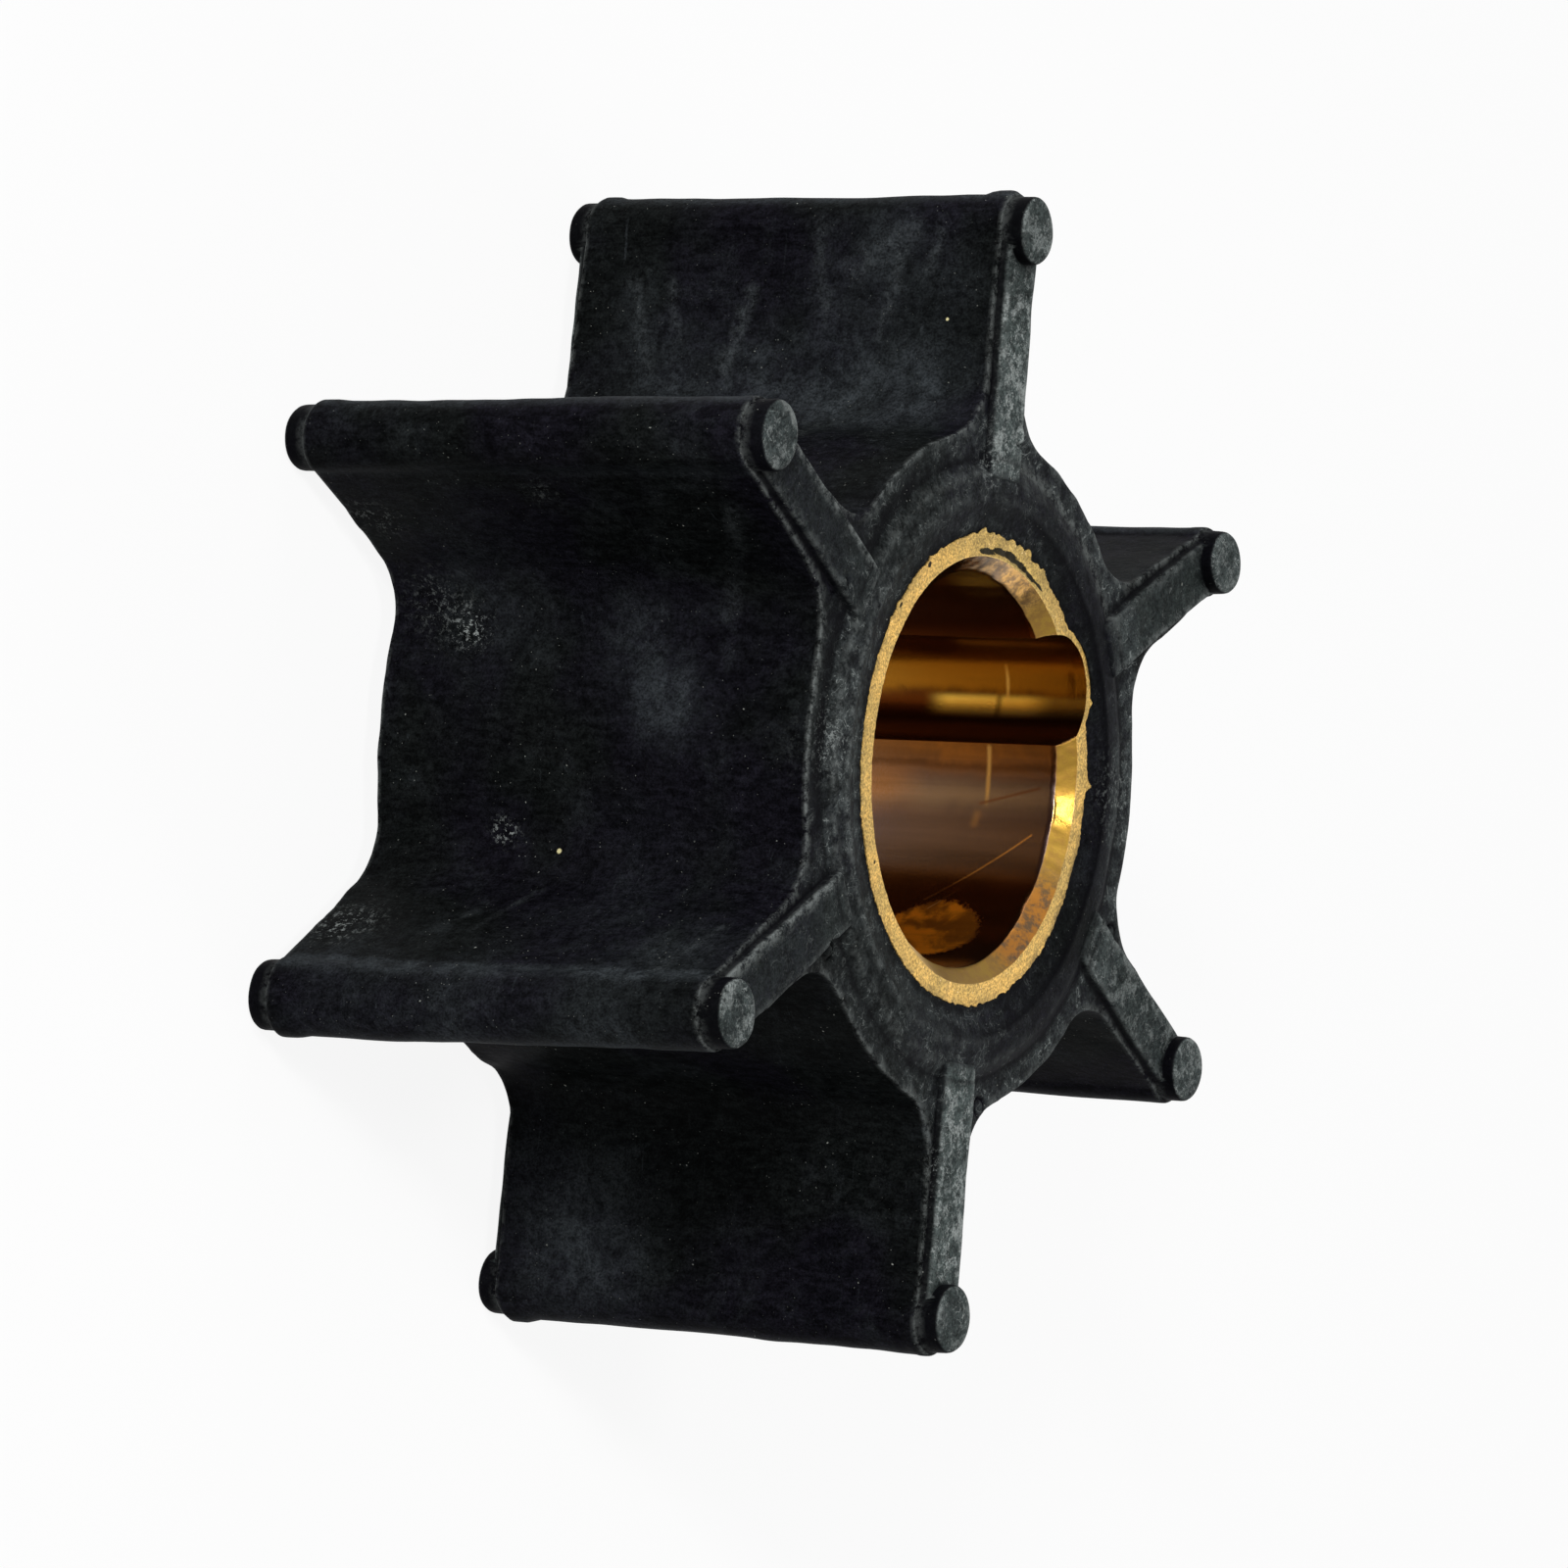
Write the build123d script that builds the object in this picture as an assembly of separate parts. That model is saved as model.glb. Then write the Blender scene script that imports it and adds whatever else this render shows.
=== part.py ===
from build123d import *
import os
from math import radians, tan

# Rubber pump impeller: flexible vanes moulded round a keyed brass sleeve.
# Millimetres. +Z is the shaft axis and the origin is on it, in the plane that the
# lower end stubs stand on. +X runs through the keyway and the vane outside it.

# Shaft fit
BORE_DIA = 22.5
KEY_WIDTH = 6.8            # diameter of the round that cuts the keyway
KEY_CENTRE_INSET = 0.65    # the round's centre lies this far inside the bore wall
MOUTH_CHAMFER = 0.9

# Brass sleeve
SLEEVE_WALL = 2.05
KEY_WALL = 0.4             # brass left outside the groove
SLEEVE_PROUD = 0.05        # each end of the sleeve past the rubber's end face
SLEEVE_EDGE = 0.12

# Rubber body
VANES = 6
OVERALL_DIA = 66.2
BODY_LENGTH = 27.9
HUB_WALL = 6.0             # rubber round the sleeve between two vanes
ROOT_FILLET = 4.0
BODY_EDGE = 0.12
TIP_BEAD_DIA = 4.2         # round bead along the tip of each vane
BEAD_STEP = 0.15           # the vane's flank lies this far inside the bead
BEAD_FILLET = 1.0
VANE_FLARE = 0.4           # each flank gains this much from the tip to the hub

# Raised features on both end faces
STUB_STEP = 0.15           # the stub's wall lies this far inside the bead
STUB_HEIGHT = 1.4
STUB_EDGE = 0.25
RIB_HEIGHT = 0.52          # vane rib above the end face
RIB_LEDGE = 0.4            # from the vane's flank in to the top of the rib
RIB_DRAFT_DEG = 8.0
COLLAR_WIDTH = 4.3         # from the sleeve out to the foot of the collar
RIDGE_WIDTH = 2.0          # from the sleeve out to the top of the ridge
RIDGE_HEIGHT = 0.45
SHOULDER_WIDTH = 3.4       # from the sleeve out to the bend in the outer slope
SHOULDER_HEIGHT = 0.35

# Places worked out from the sizes
BORE_R = BORE_DIA / 2
SLEEVE_R = BORE_R + SLEEVE_WALL
KEY_R = KEY_WIDTH / 2
KEY_CENTRE = BORE_R - KEY_CENTRE_INSET
HUB_R = SLEEVE_R + HUB_WALL
TIP_BEAD_R = TIP_BEAD_DIA / 2
TIP_PITCH_R = OVERALL_DIA / 2 - TIP_BEAD_R
STUB_R = TIP_BEAD_R - STUB_STEP
VANE_TIP_HALF = TIP_BEAD_R - BEAD_STEP
VANE_ROOT_HALF = VANE_TIP_HALF + VANE_FLARE
RIB_TOP_WIDTH = 2 * (VANE_TIP_HALF - RIB_LEDGE)
BODY_BASE = STUB_HEIGHT
BODY_TOP = BODY_BASE + BODY_LENGTH
MID_HEIGHT = (BODY_BASE + BODY_TOP) / 2
SLEEVE_LENGTH = BODY_LENGTH + 2 * SLEEVE_PROUD
SLEEVE_BASE = BODY_BASE - SLEEVE_PROUD
VANE_STEP_DEG = 360.0 / VANES
EMBED = 0.5                # how far raised features reach into the body


def sleeve_outline():
    """Outside of the sleeve: a circle with a lobe that carries the keyway."""
    lobe = Pos(KEY_CENTRE, 0) * Circle(KEY_R + KEY_WALL)
    return Circle(SLEEVE_R) + lobe


def bore_outline():
    """Hole through the sleeve: the shaft bore with one half-round groove."""
    groove = Pos(KEY_CENTRE, 0) * Circle(KEY_R)
    return Circle(BORE_R) + groove


def mouth_cone():
    """Chamfer cutter for the upper mouth of the bore."""
    top = SLEEVE_BASE + SLEEVE_LENGTH
    cone = Cone(BORE_R, BORE_R + MOUTH_CHAMFER, MOUTH_CHAMFER)
    return Pos(0, 0, top - MOUTH_CHAMFER / 2) * cone


def both_ends(shape):
    """The shape at the upper end and its mirror image at the lower end."""
    return shape + mirror(shape, about=Plane.XY.offset(MID_HEIGHT))


def at_each_vane(shape):
    """One copy of the shape for each vane."""
    copies = [Rot(0, 0, i * VANE_STEP_DEG) * shape for i in range(VANES)]
    return copies[0] + copies[1:]


def brass_sleeve():
    """Plain sleeve: lobed outside, keyed bore, chamfered mouths."""
    blank = Pos(0, 0, SLEEVE_BASE) * extrude(sleeve_outline(), amount=SLEEVE_LENGTH)
    outer_rims = [end.outer_wire().edges() for end in blank.faces().filter_by(Axis.Z)]
    blank = chamfer(outer_rims[0] + outer_rims[1], length=SLEEVE_EDGE)
    hole = Pos(0, 0, SLEEVE_BASE) * extrude(bore_outline(), amount=SLEEVE_LENGTH)
    return blank - hole - both_ends(mouth_cone())


def vane_outline():
    """One vane along +X: tapered flanks from inside the hub, round tip bead."""
    tip = VANE_TIP_HALF
    root = VANE_ROOT_HALF + VANE_FLARE * HUB_WALL / (TIP_PITCH_R - HUB_R)
    blade = Polyline((SLEEVE_R, -root), (TIP_PITCH_R, -tip), (TIP_PITCH_R, tip), (SLEEVE_R, root), close=True)
    return make_face(blade) + Pos(TIP_PITCH_R, 0) * Circle(TIP_BEAD_R)


def corners(outline, inner, outer):
    """Corners of an outline that lie between two radii from the axis."""
    return outline.vertices().filter_by(lambda v: inner < Vector(v.X, v.Y).length < outer)


def body_outline():
    """Hub and vanes in one outline, with every inside corner rounded."""
    star = Circle(HUB_R) + at_each_vane(vane_outline())
    mid_vane = (HUB_R + TIP_PITCH_R) / 2
    star = fillet(corners(star, 0, mid_vane), radius=ROOT_FILLET)
    return fillet(corners(star, mid_vane, TIP_PITCH_R), radius=BEAD_FILLET)


def body_block():
    """The moulded body with its end edges rounded."""
    block = Pos(0, 0, BODY_BASE) * extrude(body_outline(), amount=BODY_LENGTH)
    ends = block.faces().filter_by(Axis.Z)
    return fillet(ends[0].edges() + ends[1].edges(), radius=BODY_EDGE)


def collar():
    """Low ridge round the sleeve on the upper face, sloping both ways."""
    section = Polyline(
        (SLEEVE_R - EMBED, -EMBED),
        (SLEEVE_R + COLLAR_WIDTH, -EMBED),
        (SLEEVE_R + COLLAR_WIDTH, 0),
        (SLEEVE_R + SHOULDER_WIDTH, SHOULDER_HEIGHT),
        (SLEEVE_R + RIDGE_WIDTH, RIDGE_HEIGHT),
        (SLEEVE_R - EMBED, SLEEVE_PROUD),
        close=True,
    )
    ring = revolve(Plane.XZ * make_face(section), axis=Axis.Z)
    return Pos(0, 0, BODY_TOP) * ring


def vane_rib():
    """Raised rib along the end of one vane, from the collar shoulder to the stub."""
    start = SLEEVE_R + SHOULDER_WIDTH
    length = TIP_PITCH_R - start
    height = RIB_HEIGHT + EMBED
    spread = 2 * height * tan(radians(RIB_DRAFT_DEG))
    foot = Pos(start + length / 2, 0) * Rectangle(length + spread, RIB_TOP_WIDTH + spread)
    bar = extrude(foot, amount=height, taper=RIB_DRAFT_DEG)
    return Pos(0, 0, BODY_TOP - EMBED) * bar


def tip_stub():
    """Round stub on the tip bead."""
    pin = Cylinder(STUB_R, STUB_HEIGHT + EMBED, align=(Align.CENTER, Align.CENTER, Align.MIN))
    pin = fillet(pin.faces().sort_by(Axis.Z)[-1].edges(), radius=STUB_EDGE)
    return Pos(TIP_PITCH_R, 0, BODY_TOP - EMBED) * pin


def rubber_moulding():
    """Hub, vanes and raised end features as one piece, moulded on the sleeve."""
    raised = collar() + at_each_vane(vane_rib() + tip_stub())
    moulding = body_block() + both_ends(raised)
    seat = extrude(sleeve_outline(), amount=BODY_LENGTH + 2 * STUB_HEIGHT)
    return moulding - seat


def write_node(name, shape):
    shape.label = name
    export_step(shape, os.path.join("parts", name + ".step"))


def main():
    os.makedirs("parts", exist_ok=True)
    write_node("rubber_moulding", rubber_moulding())
    write_node("brass_sleeve", brass_sleeve())


main()
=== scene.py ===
import math
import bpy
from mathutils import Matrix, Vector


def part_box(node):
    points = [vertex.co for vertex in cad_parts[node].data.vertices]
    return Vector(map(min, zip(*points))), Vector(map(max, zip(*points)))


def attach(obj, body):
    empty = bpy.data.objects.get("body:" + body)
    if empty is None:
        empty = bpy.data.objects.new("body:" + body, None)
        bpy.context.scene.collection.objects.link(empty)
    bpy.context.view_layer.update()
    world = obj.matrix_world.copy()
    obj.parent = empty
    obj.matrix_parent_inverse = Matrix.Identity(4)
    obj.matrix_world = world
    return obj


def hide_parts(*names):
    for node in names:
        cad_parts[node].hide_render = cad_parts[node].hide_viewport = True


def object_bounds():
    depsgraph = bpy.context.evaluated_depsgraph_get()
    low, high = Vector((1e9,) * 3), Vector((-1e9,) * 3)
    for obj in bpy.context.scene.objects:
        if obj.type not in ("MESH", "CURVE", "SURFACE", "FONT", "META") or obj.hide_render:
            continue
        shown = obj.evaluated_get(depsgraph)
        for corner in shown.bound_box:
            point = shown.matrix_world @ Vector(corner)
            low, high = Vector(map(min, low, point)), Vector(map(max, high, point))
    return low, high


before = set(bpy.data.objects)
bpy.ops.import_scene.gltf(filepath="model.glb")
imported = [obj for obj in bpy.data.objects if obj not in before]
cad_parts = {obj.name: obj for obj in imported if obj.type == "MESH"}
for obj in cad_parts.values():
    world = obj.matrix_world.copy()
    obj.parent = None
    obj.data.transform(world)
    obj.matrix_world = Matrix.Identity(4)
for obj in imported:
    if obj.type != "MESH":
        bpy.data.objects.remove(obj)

from types import SimpleNamespace

import bpy
import numpy as np
from bpy.props import FloatProperty, FloatVectorProperty, PointerProperty
from bpy.types import Operator, Panel, PropertyGroup
from mathutils import Matrix, Vector
from mathutils.geometry import delaunay_2d_cdt

bl_info = {
    "name": "Rubber pump impeller",
    "version": (1, 0, 0),
    "blender": (4, 5, 0),
    "location": "3D View > Sidebar > Impeller",
    "description": "Builds the moulded rubber body and the keyed brass sleeve of a pump impeller",
    "category": "Object",
}

MM = 0.001
CAD_BOX = [list(corner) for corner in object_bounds()]
CAD_LOW, CAD_HIGH = (np.array(corner) / MM for corner in CAD_BOX)
MID_HEIGHT = (CAD_BOX[0][2] + CAD_BOX[1][2]) / 2     # metres
VANES = 6
VANE_STEP = 360.0 / VANES
FACE_BOTTOM, FACE_TOP = (corner.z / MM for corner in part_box("brass_sleeve"))
SLEEVE_LENGTH = FACE_TOP - FACE_BOTTOM


# ---------------------------------------------------------------- settings

def length(name, description, millimetres):
    """A length property whose default is given in millimetres."""
    return FloatProperty(name=name, description=description, default=millimetres * MM, min=0.0,
                         precision=5, unit="LENGTH")


def colour(name, description, rgb):
    """A colour property in linear light."""
    return FloatVectorProperty(name=name, description=description, default=rgb, size=3,
                               min=0.0, max=1.0, subtype="COLOR")


def share(name, description, value):
    """A number between 0 and 1."""
    return FloatProperty(name=name, description=description, default=value, min=0.0, max=1.0,
                         subtype="FACTOR")


class MouldingSizes(PropertyGroup):
    """Sizes of the rubber moulding."""
    overall_dia: length("Overall diameter", "Across the tips of two opposite vanes",
                        CAD_HIGH[0] - CAD_LOW[0])
    body_base: length("Body base", "Height of the lower end face above the stub ends", 1.4)
    body_length: length("Body length", "From one end face to the other", 27.9)
    hub_dia: length("Hub diameter", "Across the rubber hub between two vanes", 38.6)
    root_fillet: length("Root fillet", "Radius where a vane runs into the hub", 4.0)
    bead_dia: length("Tip bead diameter", "Round bead along the tip of each vane", 4.2)
    bead_step: length("Bead step", "How far the flank lies inside the bead", 0.15)
    bead_fillet: length("Bead fillet", "Radius between a flank and the bead", 1.0)
    vane_flare: length("Vane flare", "What each flank gains from the tip to the hub", 0.4)
    rib_height: length("Rib height", "Raised rib above the end face", 0.52)
    rib_half: length("Rib half width", "Half of the flat top of a rib", 1.5)
    edge_wander: length("Edge wander", "How far the moulded end edges stray", 0.05)
    surface_wander: length("Surface wander", "How far the moulded surfaces stray", 0.035)


class SleeveSizes(PropertyGroup):
    """Sizes of the brass sleeve."""
    bore_dia: length("Bore diameter", "Shaft bore", 22.5)
    sleeve_dia: length("Sleeve diameter", "Outside of the sleeve", 26.6)
    key_dia: length("Keyway diameter", "Round that cuts the keyway", 6.8)
    key_centre: length("Keyway centre", "From the axis to the centre of that round", 10.6)
    key_wall: length("Keyway wall", "Brass left outside the keyway", 0.4)
    bevel: length("Bevel", "Chamfer at both mouths of the bore", 0.9)
    burr: length("Burr", "How far saw burrs stand out of the rim", 0.09)


class RubberFinish(PropertyGroup):
    """Colours of the rubber."""
    black: colour("Black", "The clean rubber", (0.0042, 0.0040, 0.0060))
    cast: colour("Cast", "Cool green cast over part of the rubber", (0.0040, 0.0047, 0.0047))
    # grey haze, also laid as painted highlights along the beads and painted light in some patches
    bloom: colour("Bloom", "Grey haze on the surface", (0.032, 0.037, 0.041))
    # the grey of the end faces, also laid as painted light and shade on the collar and hub
    dry: colour("Dry", "Dry rubber of the end faces", (0.054, 0.062, 0.062))
    rib: colour("Rib", "Rubbed face of the ribs and stubs", (0.082, 0.102, 0.098))
    # white residue, also laid as painted highlights along the rim and the steps of the collar
    chalk: colour("Chalk", "Dry white residue", (0.34, 0.37, 0.36))
    grit: colour("Grit", "Specks of dust", (0.50, 0.52, 0.47))
    roughness: share("Roughness", "Roughness of the clean rubber", 0.46)


class BrassFinish(PropertyGroup):
    """Colours of the brass."""
    sawn: colour("Sawn face", "Freshly cut face", (0.60, 0.385, 0.110))
    dull: colour("Dull face", "Cut face gone dull", (0.34, 0.245, 0.080))
    rim: colour("Bevel", "Polished bevel at the mouth of the bore", (0.27, 0.165, 0.030))
    clean: colour("Clean wall", "Cleaner far side of the bore", (0.88, 0.63, 0.28))
    brown: colour("Brown wall", "Tarnished wall of the bore", (0.20, 0.095, 0.040))
    # mauve and dark are also laid round the bore as painted reflection bands, and dark in the groove as
    # painted shade
    mauve: colour("Mauve wall", "Heavy oxide, grey to mauve", (0.150, 0.114, 0.136))
    dark: colour("Dark stain", "Black-brown stain", (0.075, 0.030, 0.010))


class StageSettings(PropertyGroup):
    """Floor, light and camera."""
    floor_size: length("Floor size", "Side of the floor", 6000.0)
    floor: colour("Floor", "Colour of the floor", (0.92, 0.92, 0.92))
    sky: share("Sky", "Strength of the light from all round", 0.18)
    lens: FloatProperty(name="Lens", description="Focal length", default=151.65, min=1.0,
                        subtype="DISTANCE_CAMERA")


# ---------------------------------------------------------------- numbers

def ramp(values, low, high):
    """0 at low, 1 at high, smooth in between."""
    t = np.clip((values - low) / (high - low), 0.0, 1.0)
    return t * t * (3.0 - 2.0 * t)


def band(values, middle, width, power=2):
    """1 at the middle, falling softly towards 0 past a width on either side."""
    return np.exp(-np.abs((values - middle) / width) ** power)


def turn_from(degrees, aim):
    """Turn from an aim to each bearing, between -180 and 180."""
    return ((degrees - aim) + 180.0) % 360.0 - 180.0


def polar(radius, degrees):
    """A point in the plane from its distance and its bearing."""
    return radius * np.array([math.cos(math.radians(degrees)), math.sin(math.radians(degrees))])


def waves(points, size, seed, count=22):
    """Smooth noise between about -1 and 1 with features of the given size."""
    rng = np.random.default_rng(seed)
    heading = rng.normal(size=(count, 3))
    heading /= np.linalg.norm(heading, axis=1)[:, None]
    pitch = rng.uniform(0.6, 1.7, count) * 2.0 * math.pi / (size * 2.0)
    phase = rng.uniform(0.0, 2.0 * math.pi, count)
    gain = rng.uniform(0.5, 1.0, count)
    turns = points @ (heading * pitch[:, None]).T + phase
    return (np.sin(turns) * gain).sum(axis=1) / (0.72 * math.sqrt(count))


def arc(centre, radius, start, end, step):
    """Points along an arc, from start up to but without end, angles in radians."""
    count = max(2, int(math.ceil(abs(end - start) * radius / step)))
    angles = start + (end - start) * np.arange(count) / count
    return np.column_stack((centre[0] + radius * np.cos(angles), centre[1] + radius * np.sin(angles)))


def run(first, last, step):
    """Points along a straight run, without the last one."""
    first, last = np.array(first), np.array(last)
    count = max(1, int(math.ceil(np.linalg.norm(last - first) / step)))
    return first + (last - first) * (np.arange(count) / count)[:, None]


def ring(radius, step, centre=(0.0, 0.0)):
    """A closed circle of points."""
    return arc(centre, radius, 0.0, 2.0 * math.pi, step)


def rectangle(low, high, step):
    """A closed rectangle of points between two corners."""
    corners = (low, (high[0], low[1]), high, (low[0], high[1]))
    return np.vstack([run(corners[k], corners[(k + 1) % 4], step) for k in range(4)])


def turned(points, degrees):
    """Points in the plane, turned about the axis."""
    c, s = math.cos(math.radians(degrees)), math.sin(math.radians(degrees))
    return points @ np.array([[c, s], [-s, c]])


def sizes(group):
    """Every length of a settings group, in millimetres."""
    return {key: getattr(group, key) / MM for key in group.__annotations__}


def ends(s):
    """Heights of the lower and the upper end face."""
    return s["body_base"], s["body_base"] + s["body_length"]


def tip_radius(s):
    """From the axis to the middle of a tip bead."""
    return (s["overall_dia"] - s["bead_dia"]) / 2


# ---------------------------------------------------------------- meshes

SHARP_DEG = 62.0
BLOCKS = 40     # how many parts a long comparison of points is done in


def make_object(name, points, faces, masks, material):
    """A smooth mesh object in metres with one vertex attribute for each mask."""
    mesh = bpy.data.meshes.new(name)
    mesh.from_pydata((points * MM).tolist(), [], faces)
    mesh.validate()
    mesh.shade_smooth()
    mesh.set_sharp_from_angle(angle=math.radians(SHARP_DEG))
    for key, values in masks.items():
        layer = mesh.attributes.new(key, "FLOAT", "POINT")
        layer.data.foreach_set("value", np.ascontiguousarray(values, np.float32))
    mesh.materials.append(material)
    piece = bpy.data.objects.new(name, mesh)
    bpy.context.scene.collection.objects.link(piece)
    return piece


def tube_faces(rows, around, first=0, closed_rows=False):
    """Quads of a grid of rows, each row a closed ring of points."""
    faces = []
    for row in range(rows if closed_rows else rows - 1):
        low = first + row * around
        high = first + ((row + 1) % rows) * around
        for k in range(around):
            n = (k + 1) % around
            faces.append((low + k, low + n, high + n, high + k))
    return faces


def welded(points, faces, gap=0.0005):
    """Merges points that coincide. Returns points and faces."""
    points = points.astype(np.float32)
    keys = np.round(points / gap).astype(np.int64)
    _, first, index = np.unique(keys, axis=0, return_index=True, return_inverse=True)
    index = index.reshape(-1)
    merged = []
    for face in faces:
        corner = [int(index[v]) for v in face]
        if len(set(corner)) == len(corner):
            merged.append(tuple(corner))
    return points[first].astype(float), merged


def triangulated(loops, dots):
    """Flat triangles over closed loops and loose dots. Returns points and triangles."""
    points, edges = [], []
    for loop in loops:
        base = len(points)
        points.extend(map(tuple, loop))
        edges.extend((base + k, base + (k + 1) % len(loop)) for k in range(len(loop)))
    points.extend(map(tuple, dots))
    flat, _, faces, _, _, _ = delaunay_2d_cdt([Vector(p) for p in points], edges, [], 0, 1e-5)
    return np.array([tuple(p) for p in flat]), [tuple(f) for f in faces]


def inside(points, outline):
    """Whether each point lies inside a closed outline."""
    ax, ay = outline[:, 0], outline[:, 1]
    bx, by = np.roll(ax, -1), np.roll(ay, -1)
    slope = (bx - ax) / np.where(by == ay, 1.0, by - ay)
    answer = np.zeros(len(points), bool)
    for block in np.array_split(np.arange(len(points)), BLOCKS):
        x, y = points[block, 0:1], points[block, 1:2]
        crossed = ((ay > y) != (by > y)) & (x < slope * (y - ay) + ax)
        answer[block] = crossed.sum(axis=1) % 2 == 1
    return answer


def nearest(points, others):
    """Distance from each point to the nearest of the others."""
    away = np.empty(len(points))
    for block in np.array_split(np.arange(len(points)), BLOCKS):
        away[block] = np.linalg.norm(points[block, None, :] - others[None, :, :], axis=2).min(axis=1)
    return away


def clear_of(points, others, gap):
    """Whether each point keeps a gap to all the others."""
    return nearest(points, others) > gap


# ---------------------------------------------------------------- rubber moulding

# From the axis to the rubber's inner edge, and to where the flat tops of the ribs start
SLEEVE_SEAT = 13.3
RIB_START = 16.75
# Rib section: how far inside the edge of the flat top, and the share of the height there
RIB_PROFILE = ((0.0, 1.0), (-0.08, 0.985), (-0.13, 0.90), (-0.17, 0.50), (-0.21, 0.07), (-0.27, 0.0))
# Stub section: distance from the stub's axis and height
STUB_PROFILE = ((1.955, 0.0), (1.94, 0.07), (1.93, 0.6), (1.925, 1.02), (1.90, 1.17), (1.82, 1.29),
                (1.70, 1.36), (1.50, 1.395), (1.0, 1.40), (0.5, 1.40))
# Collar section: distance from the axis and height
COLLAR_PROFILE = ((13.3, -0.06), (13.62, -0.05), (13.95, 0.06), (14.12, 0.10), (14.55, 0.23),
                  (14.68, 0.25), (15.12, 0.415), (15.3, 0.45), (15.48, 0.44), (16.55, 0.365),
                  (16.8, 0.33), (17.45, 0.05), (17.62, 0.0))
# Spacing of the points along the outline: bead, neck, flank, root and hub
BEAD_STEP, NECK_STEP, FLANK_STEP, ROOT_STEP, HUB_STEP = 0.21, 0.2, 0.42, 0.36, 0.42
# Spacing along the lines of an end face: collar, inner collar, ribs, stubs, pips, and points between
COLLAR_STEP, INNER_STEP, RIB_STEP, STUB_STEP, PIP_STEP, FILL_STEP = 0.42, 0.32, 0.4, 0.26, 0.13, 0.5
# The points between stray by up to the first, and keep clear of the lines by the second
FILL_STRAY, FILL_GAP, RIM_GAP = 0.07, 0.22, 0.07
# Worn edge of the body: depth from the end face, how far inside the outline
END_INSETS = ((0.0, 0.085), (0.018, 0.045), (0.055, 0.015), (0.12, 0.0))
# Depths of more rows of points near each end, and the span of even rows between them
NEAR_ROWS = (0.32, 0.52, 0.8, 1.12, 1.5)
EVEN_ROWS_FROM, EVEN_ROWS = 2.0, 40
# Tip of each vane: sideways shift at the lower and the upper end, and inwards, in millimetres
VANE_LEAN = ((-0.22, -0.42, 0.12), (-0.45, -0.08, 0.0), (0.48, -0.02, 0.08),
             (0.60, -0.03, 0.12), (-0.45, -0.20, 0.0), (0.12, -0.04, 0.0))
# Vent pips: angle, radius, size, height, depth of the crescent round them
PIPS_UPPER = ((55.7, 19.3, 0.62, 0.10, 0.26), (124.0, 19.6, 0.60, 0.08, 0.22),
              (186.4, 19.1, 0.66, 0.16, 0.30), (249.8, 19.3, 0.62, 0.06, 0.24),
              (306.2, 19.7, 0.55, 0.05, 0.20))
PIPS_LOWER = ((9.0, 19.2, 0.6, 0.08, 0.20), (128.0, 19.3, 0.6, 0.10, 0.22),
              (248.5, 19.3, 0.6, 0.06, 0.20))
# Rings of points round a pip, as shares of its size
PIP_RINGS = (0.2, 0.4, 0.6, 0.72, 0.85, 0.98, 1.15, 1.3)
PIP_GROOVE = 0.13
# Thin lips at the ends of each vane's bead: height, aim and spread in degrees, reach along the bead
FLASH_UPPER = ((0.06, 10, 60, 0.9), (0.20, 5, 45, 1.6), (0.06, 20, 60, 0.9),
               (0.05, -20, 60, 0.8), (0.08, -40, 60, 0.7), (0.06, 0, 50, 0.8))
FLASH_LOWER = ((0.10, 0, 50, 1.2), (0.13, 0, 40, 1.3), (0.17, -8, 50, 1.5),
               (0.24, 12, 55, 1.6), (0.24, 5, 50, 1.5), (0.10, 0, 50, 1.2))
# The finished body stays this far inside the drawn size of the part
BOX_MARGIN = 0.01
# A vane's lean grows from this radius over this span, and it bows between its ends
LEAN_START, LEAN_SPAN, VANE_BOW = 18.5, 12.5, 0.12


def vane_sector(s):
    """Outline of one sixth of the body, with its vane along +X."""
    bead_r = s["bead_dia"] / 2
    pitch = s["overall_dia"] / 2 - bead_r
    hub_r = s["hub_dia"] / 2
    tip_half = bead_r - s["bead_step"]
    lean = math.atan2(s["vane_flare"], pitch - hub_r)
    along = np.array([math.cos(lean), -math.sin(lean)])
    out = np.array([math.sin(lean), math.cos(lean)])

    def centre_at(radius, around, reach, side):
        """Centre of a round that touches the flank and a circle, on one side of that circle."""
        base = np.array([pitch, tip_half]) + out * radius - around
        b = base @ along
        return around + base + along * (-b + side * math.sqrt(b * b - base @ base + reach * reach))

    bead = np.array([pitch, 0.0])
    root = centre_at(s["root_fillet"], np.zeros(2), hub_r + s["root_fillet"], 1.0)
    neck = centre_at(s["bead_fillet"], bead, bead_r + s["bead_fillet"], -1.0)
    hub_angle = math.atan2(root[1], root[0])
    bead_angle = math.atan2(*(neck - bead)[::-1])
    down = math.atan2(-out[1], -out[0])
    half = np.vstack((
        arc(bead, bead_r, 0.0, bead_angle, BEAD_STEP),
        arc(neck, s["bead_fillet"], bead_angle - math.pi, down, NECK_STEP),
        run(neck - out * s["bead_fillet"], root - out * s["root_fillet"], FLANK_STEP),
        arc(root, s["root_fillet"], down, hub_angle - math.pi, ROOT_STEP),
        arc((0.0, 0.0), hub_r, hub_angle, math.pi / VANES, HUB_STEP),
    ))
    mirrored = half[1:][::-1] * (1.0, -1.0)
    start = polar(hub_r, -VANE_STEP / 2)[None, :]
    return np.vstack((start, mirrored, half))


def body_outline(s):
    """Outline of the whole body and its outward directions."""
    sector = vane_sector(s)
    outline = np.vstack([turned(sector, VANE_STEP * k) for k in range(VANES)])
    tangent = np.roll(outline, -1, axis=0) - np.roll(outline, 1, axis=0)
    tangent /= np.linalg.norm(tangent, axis=1)[:, None]
    return outline, np.column_stack((tangent[:, 1], -tangent[:, 0]))


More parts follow.
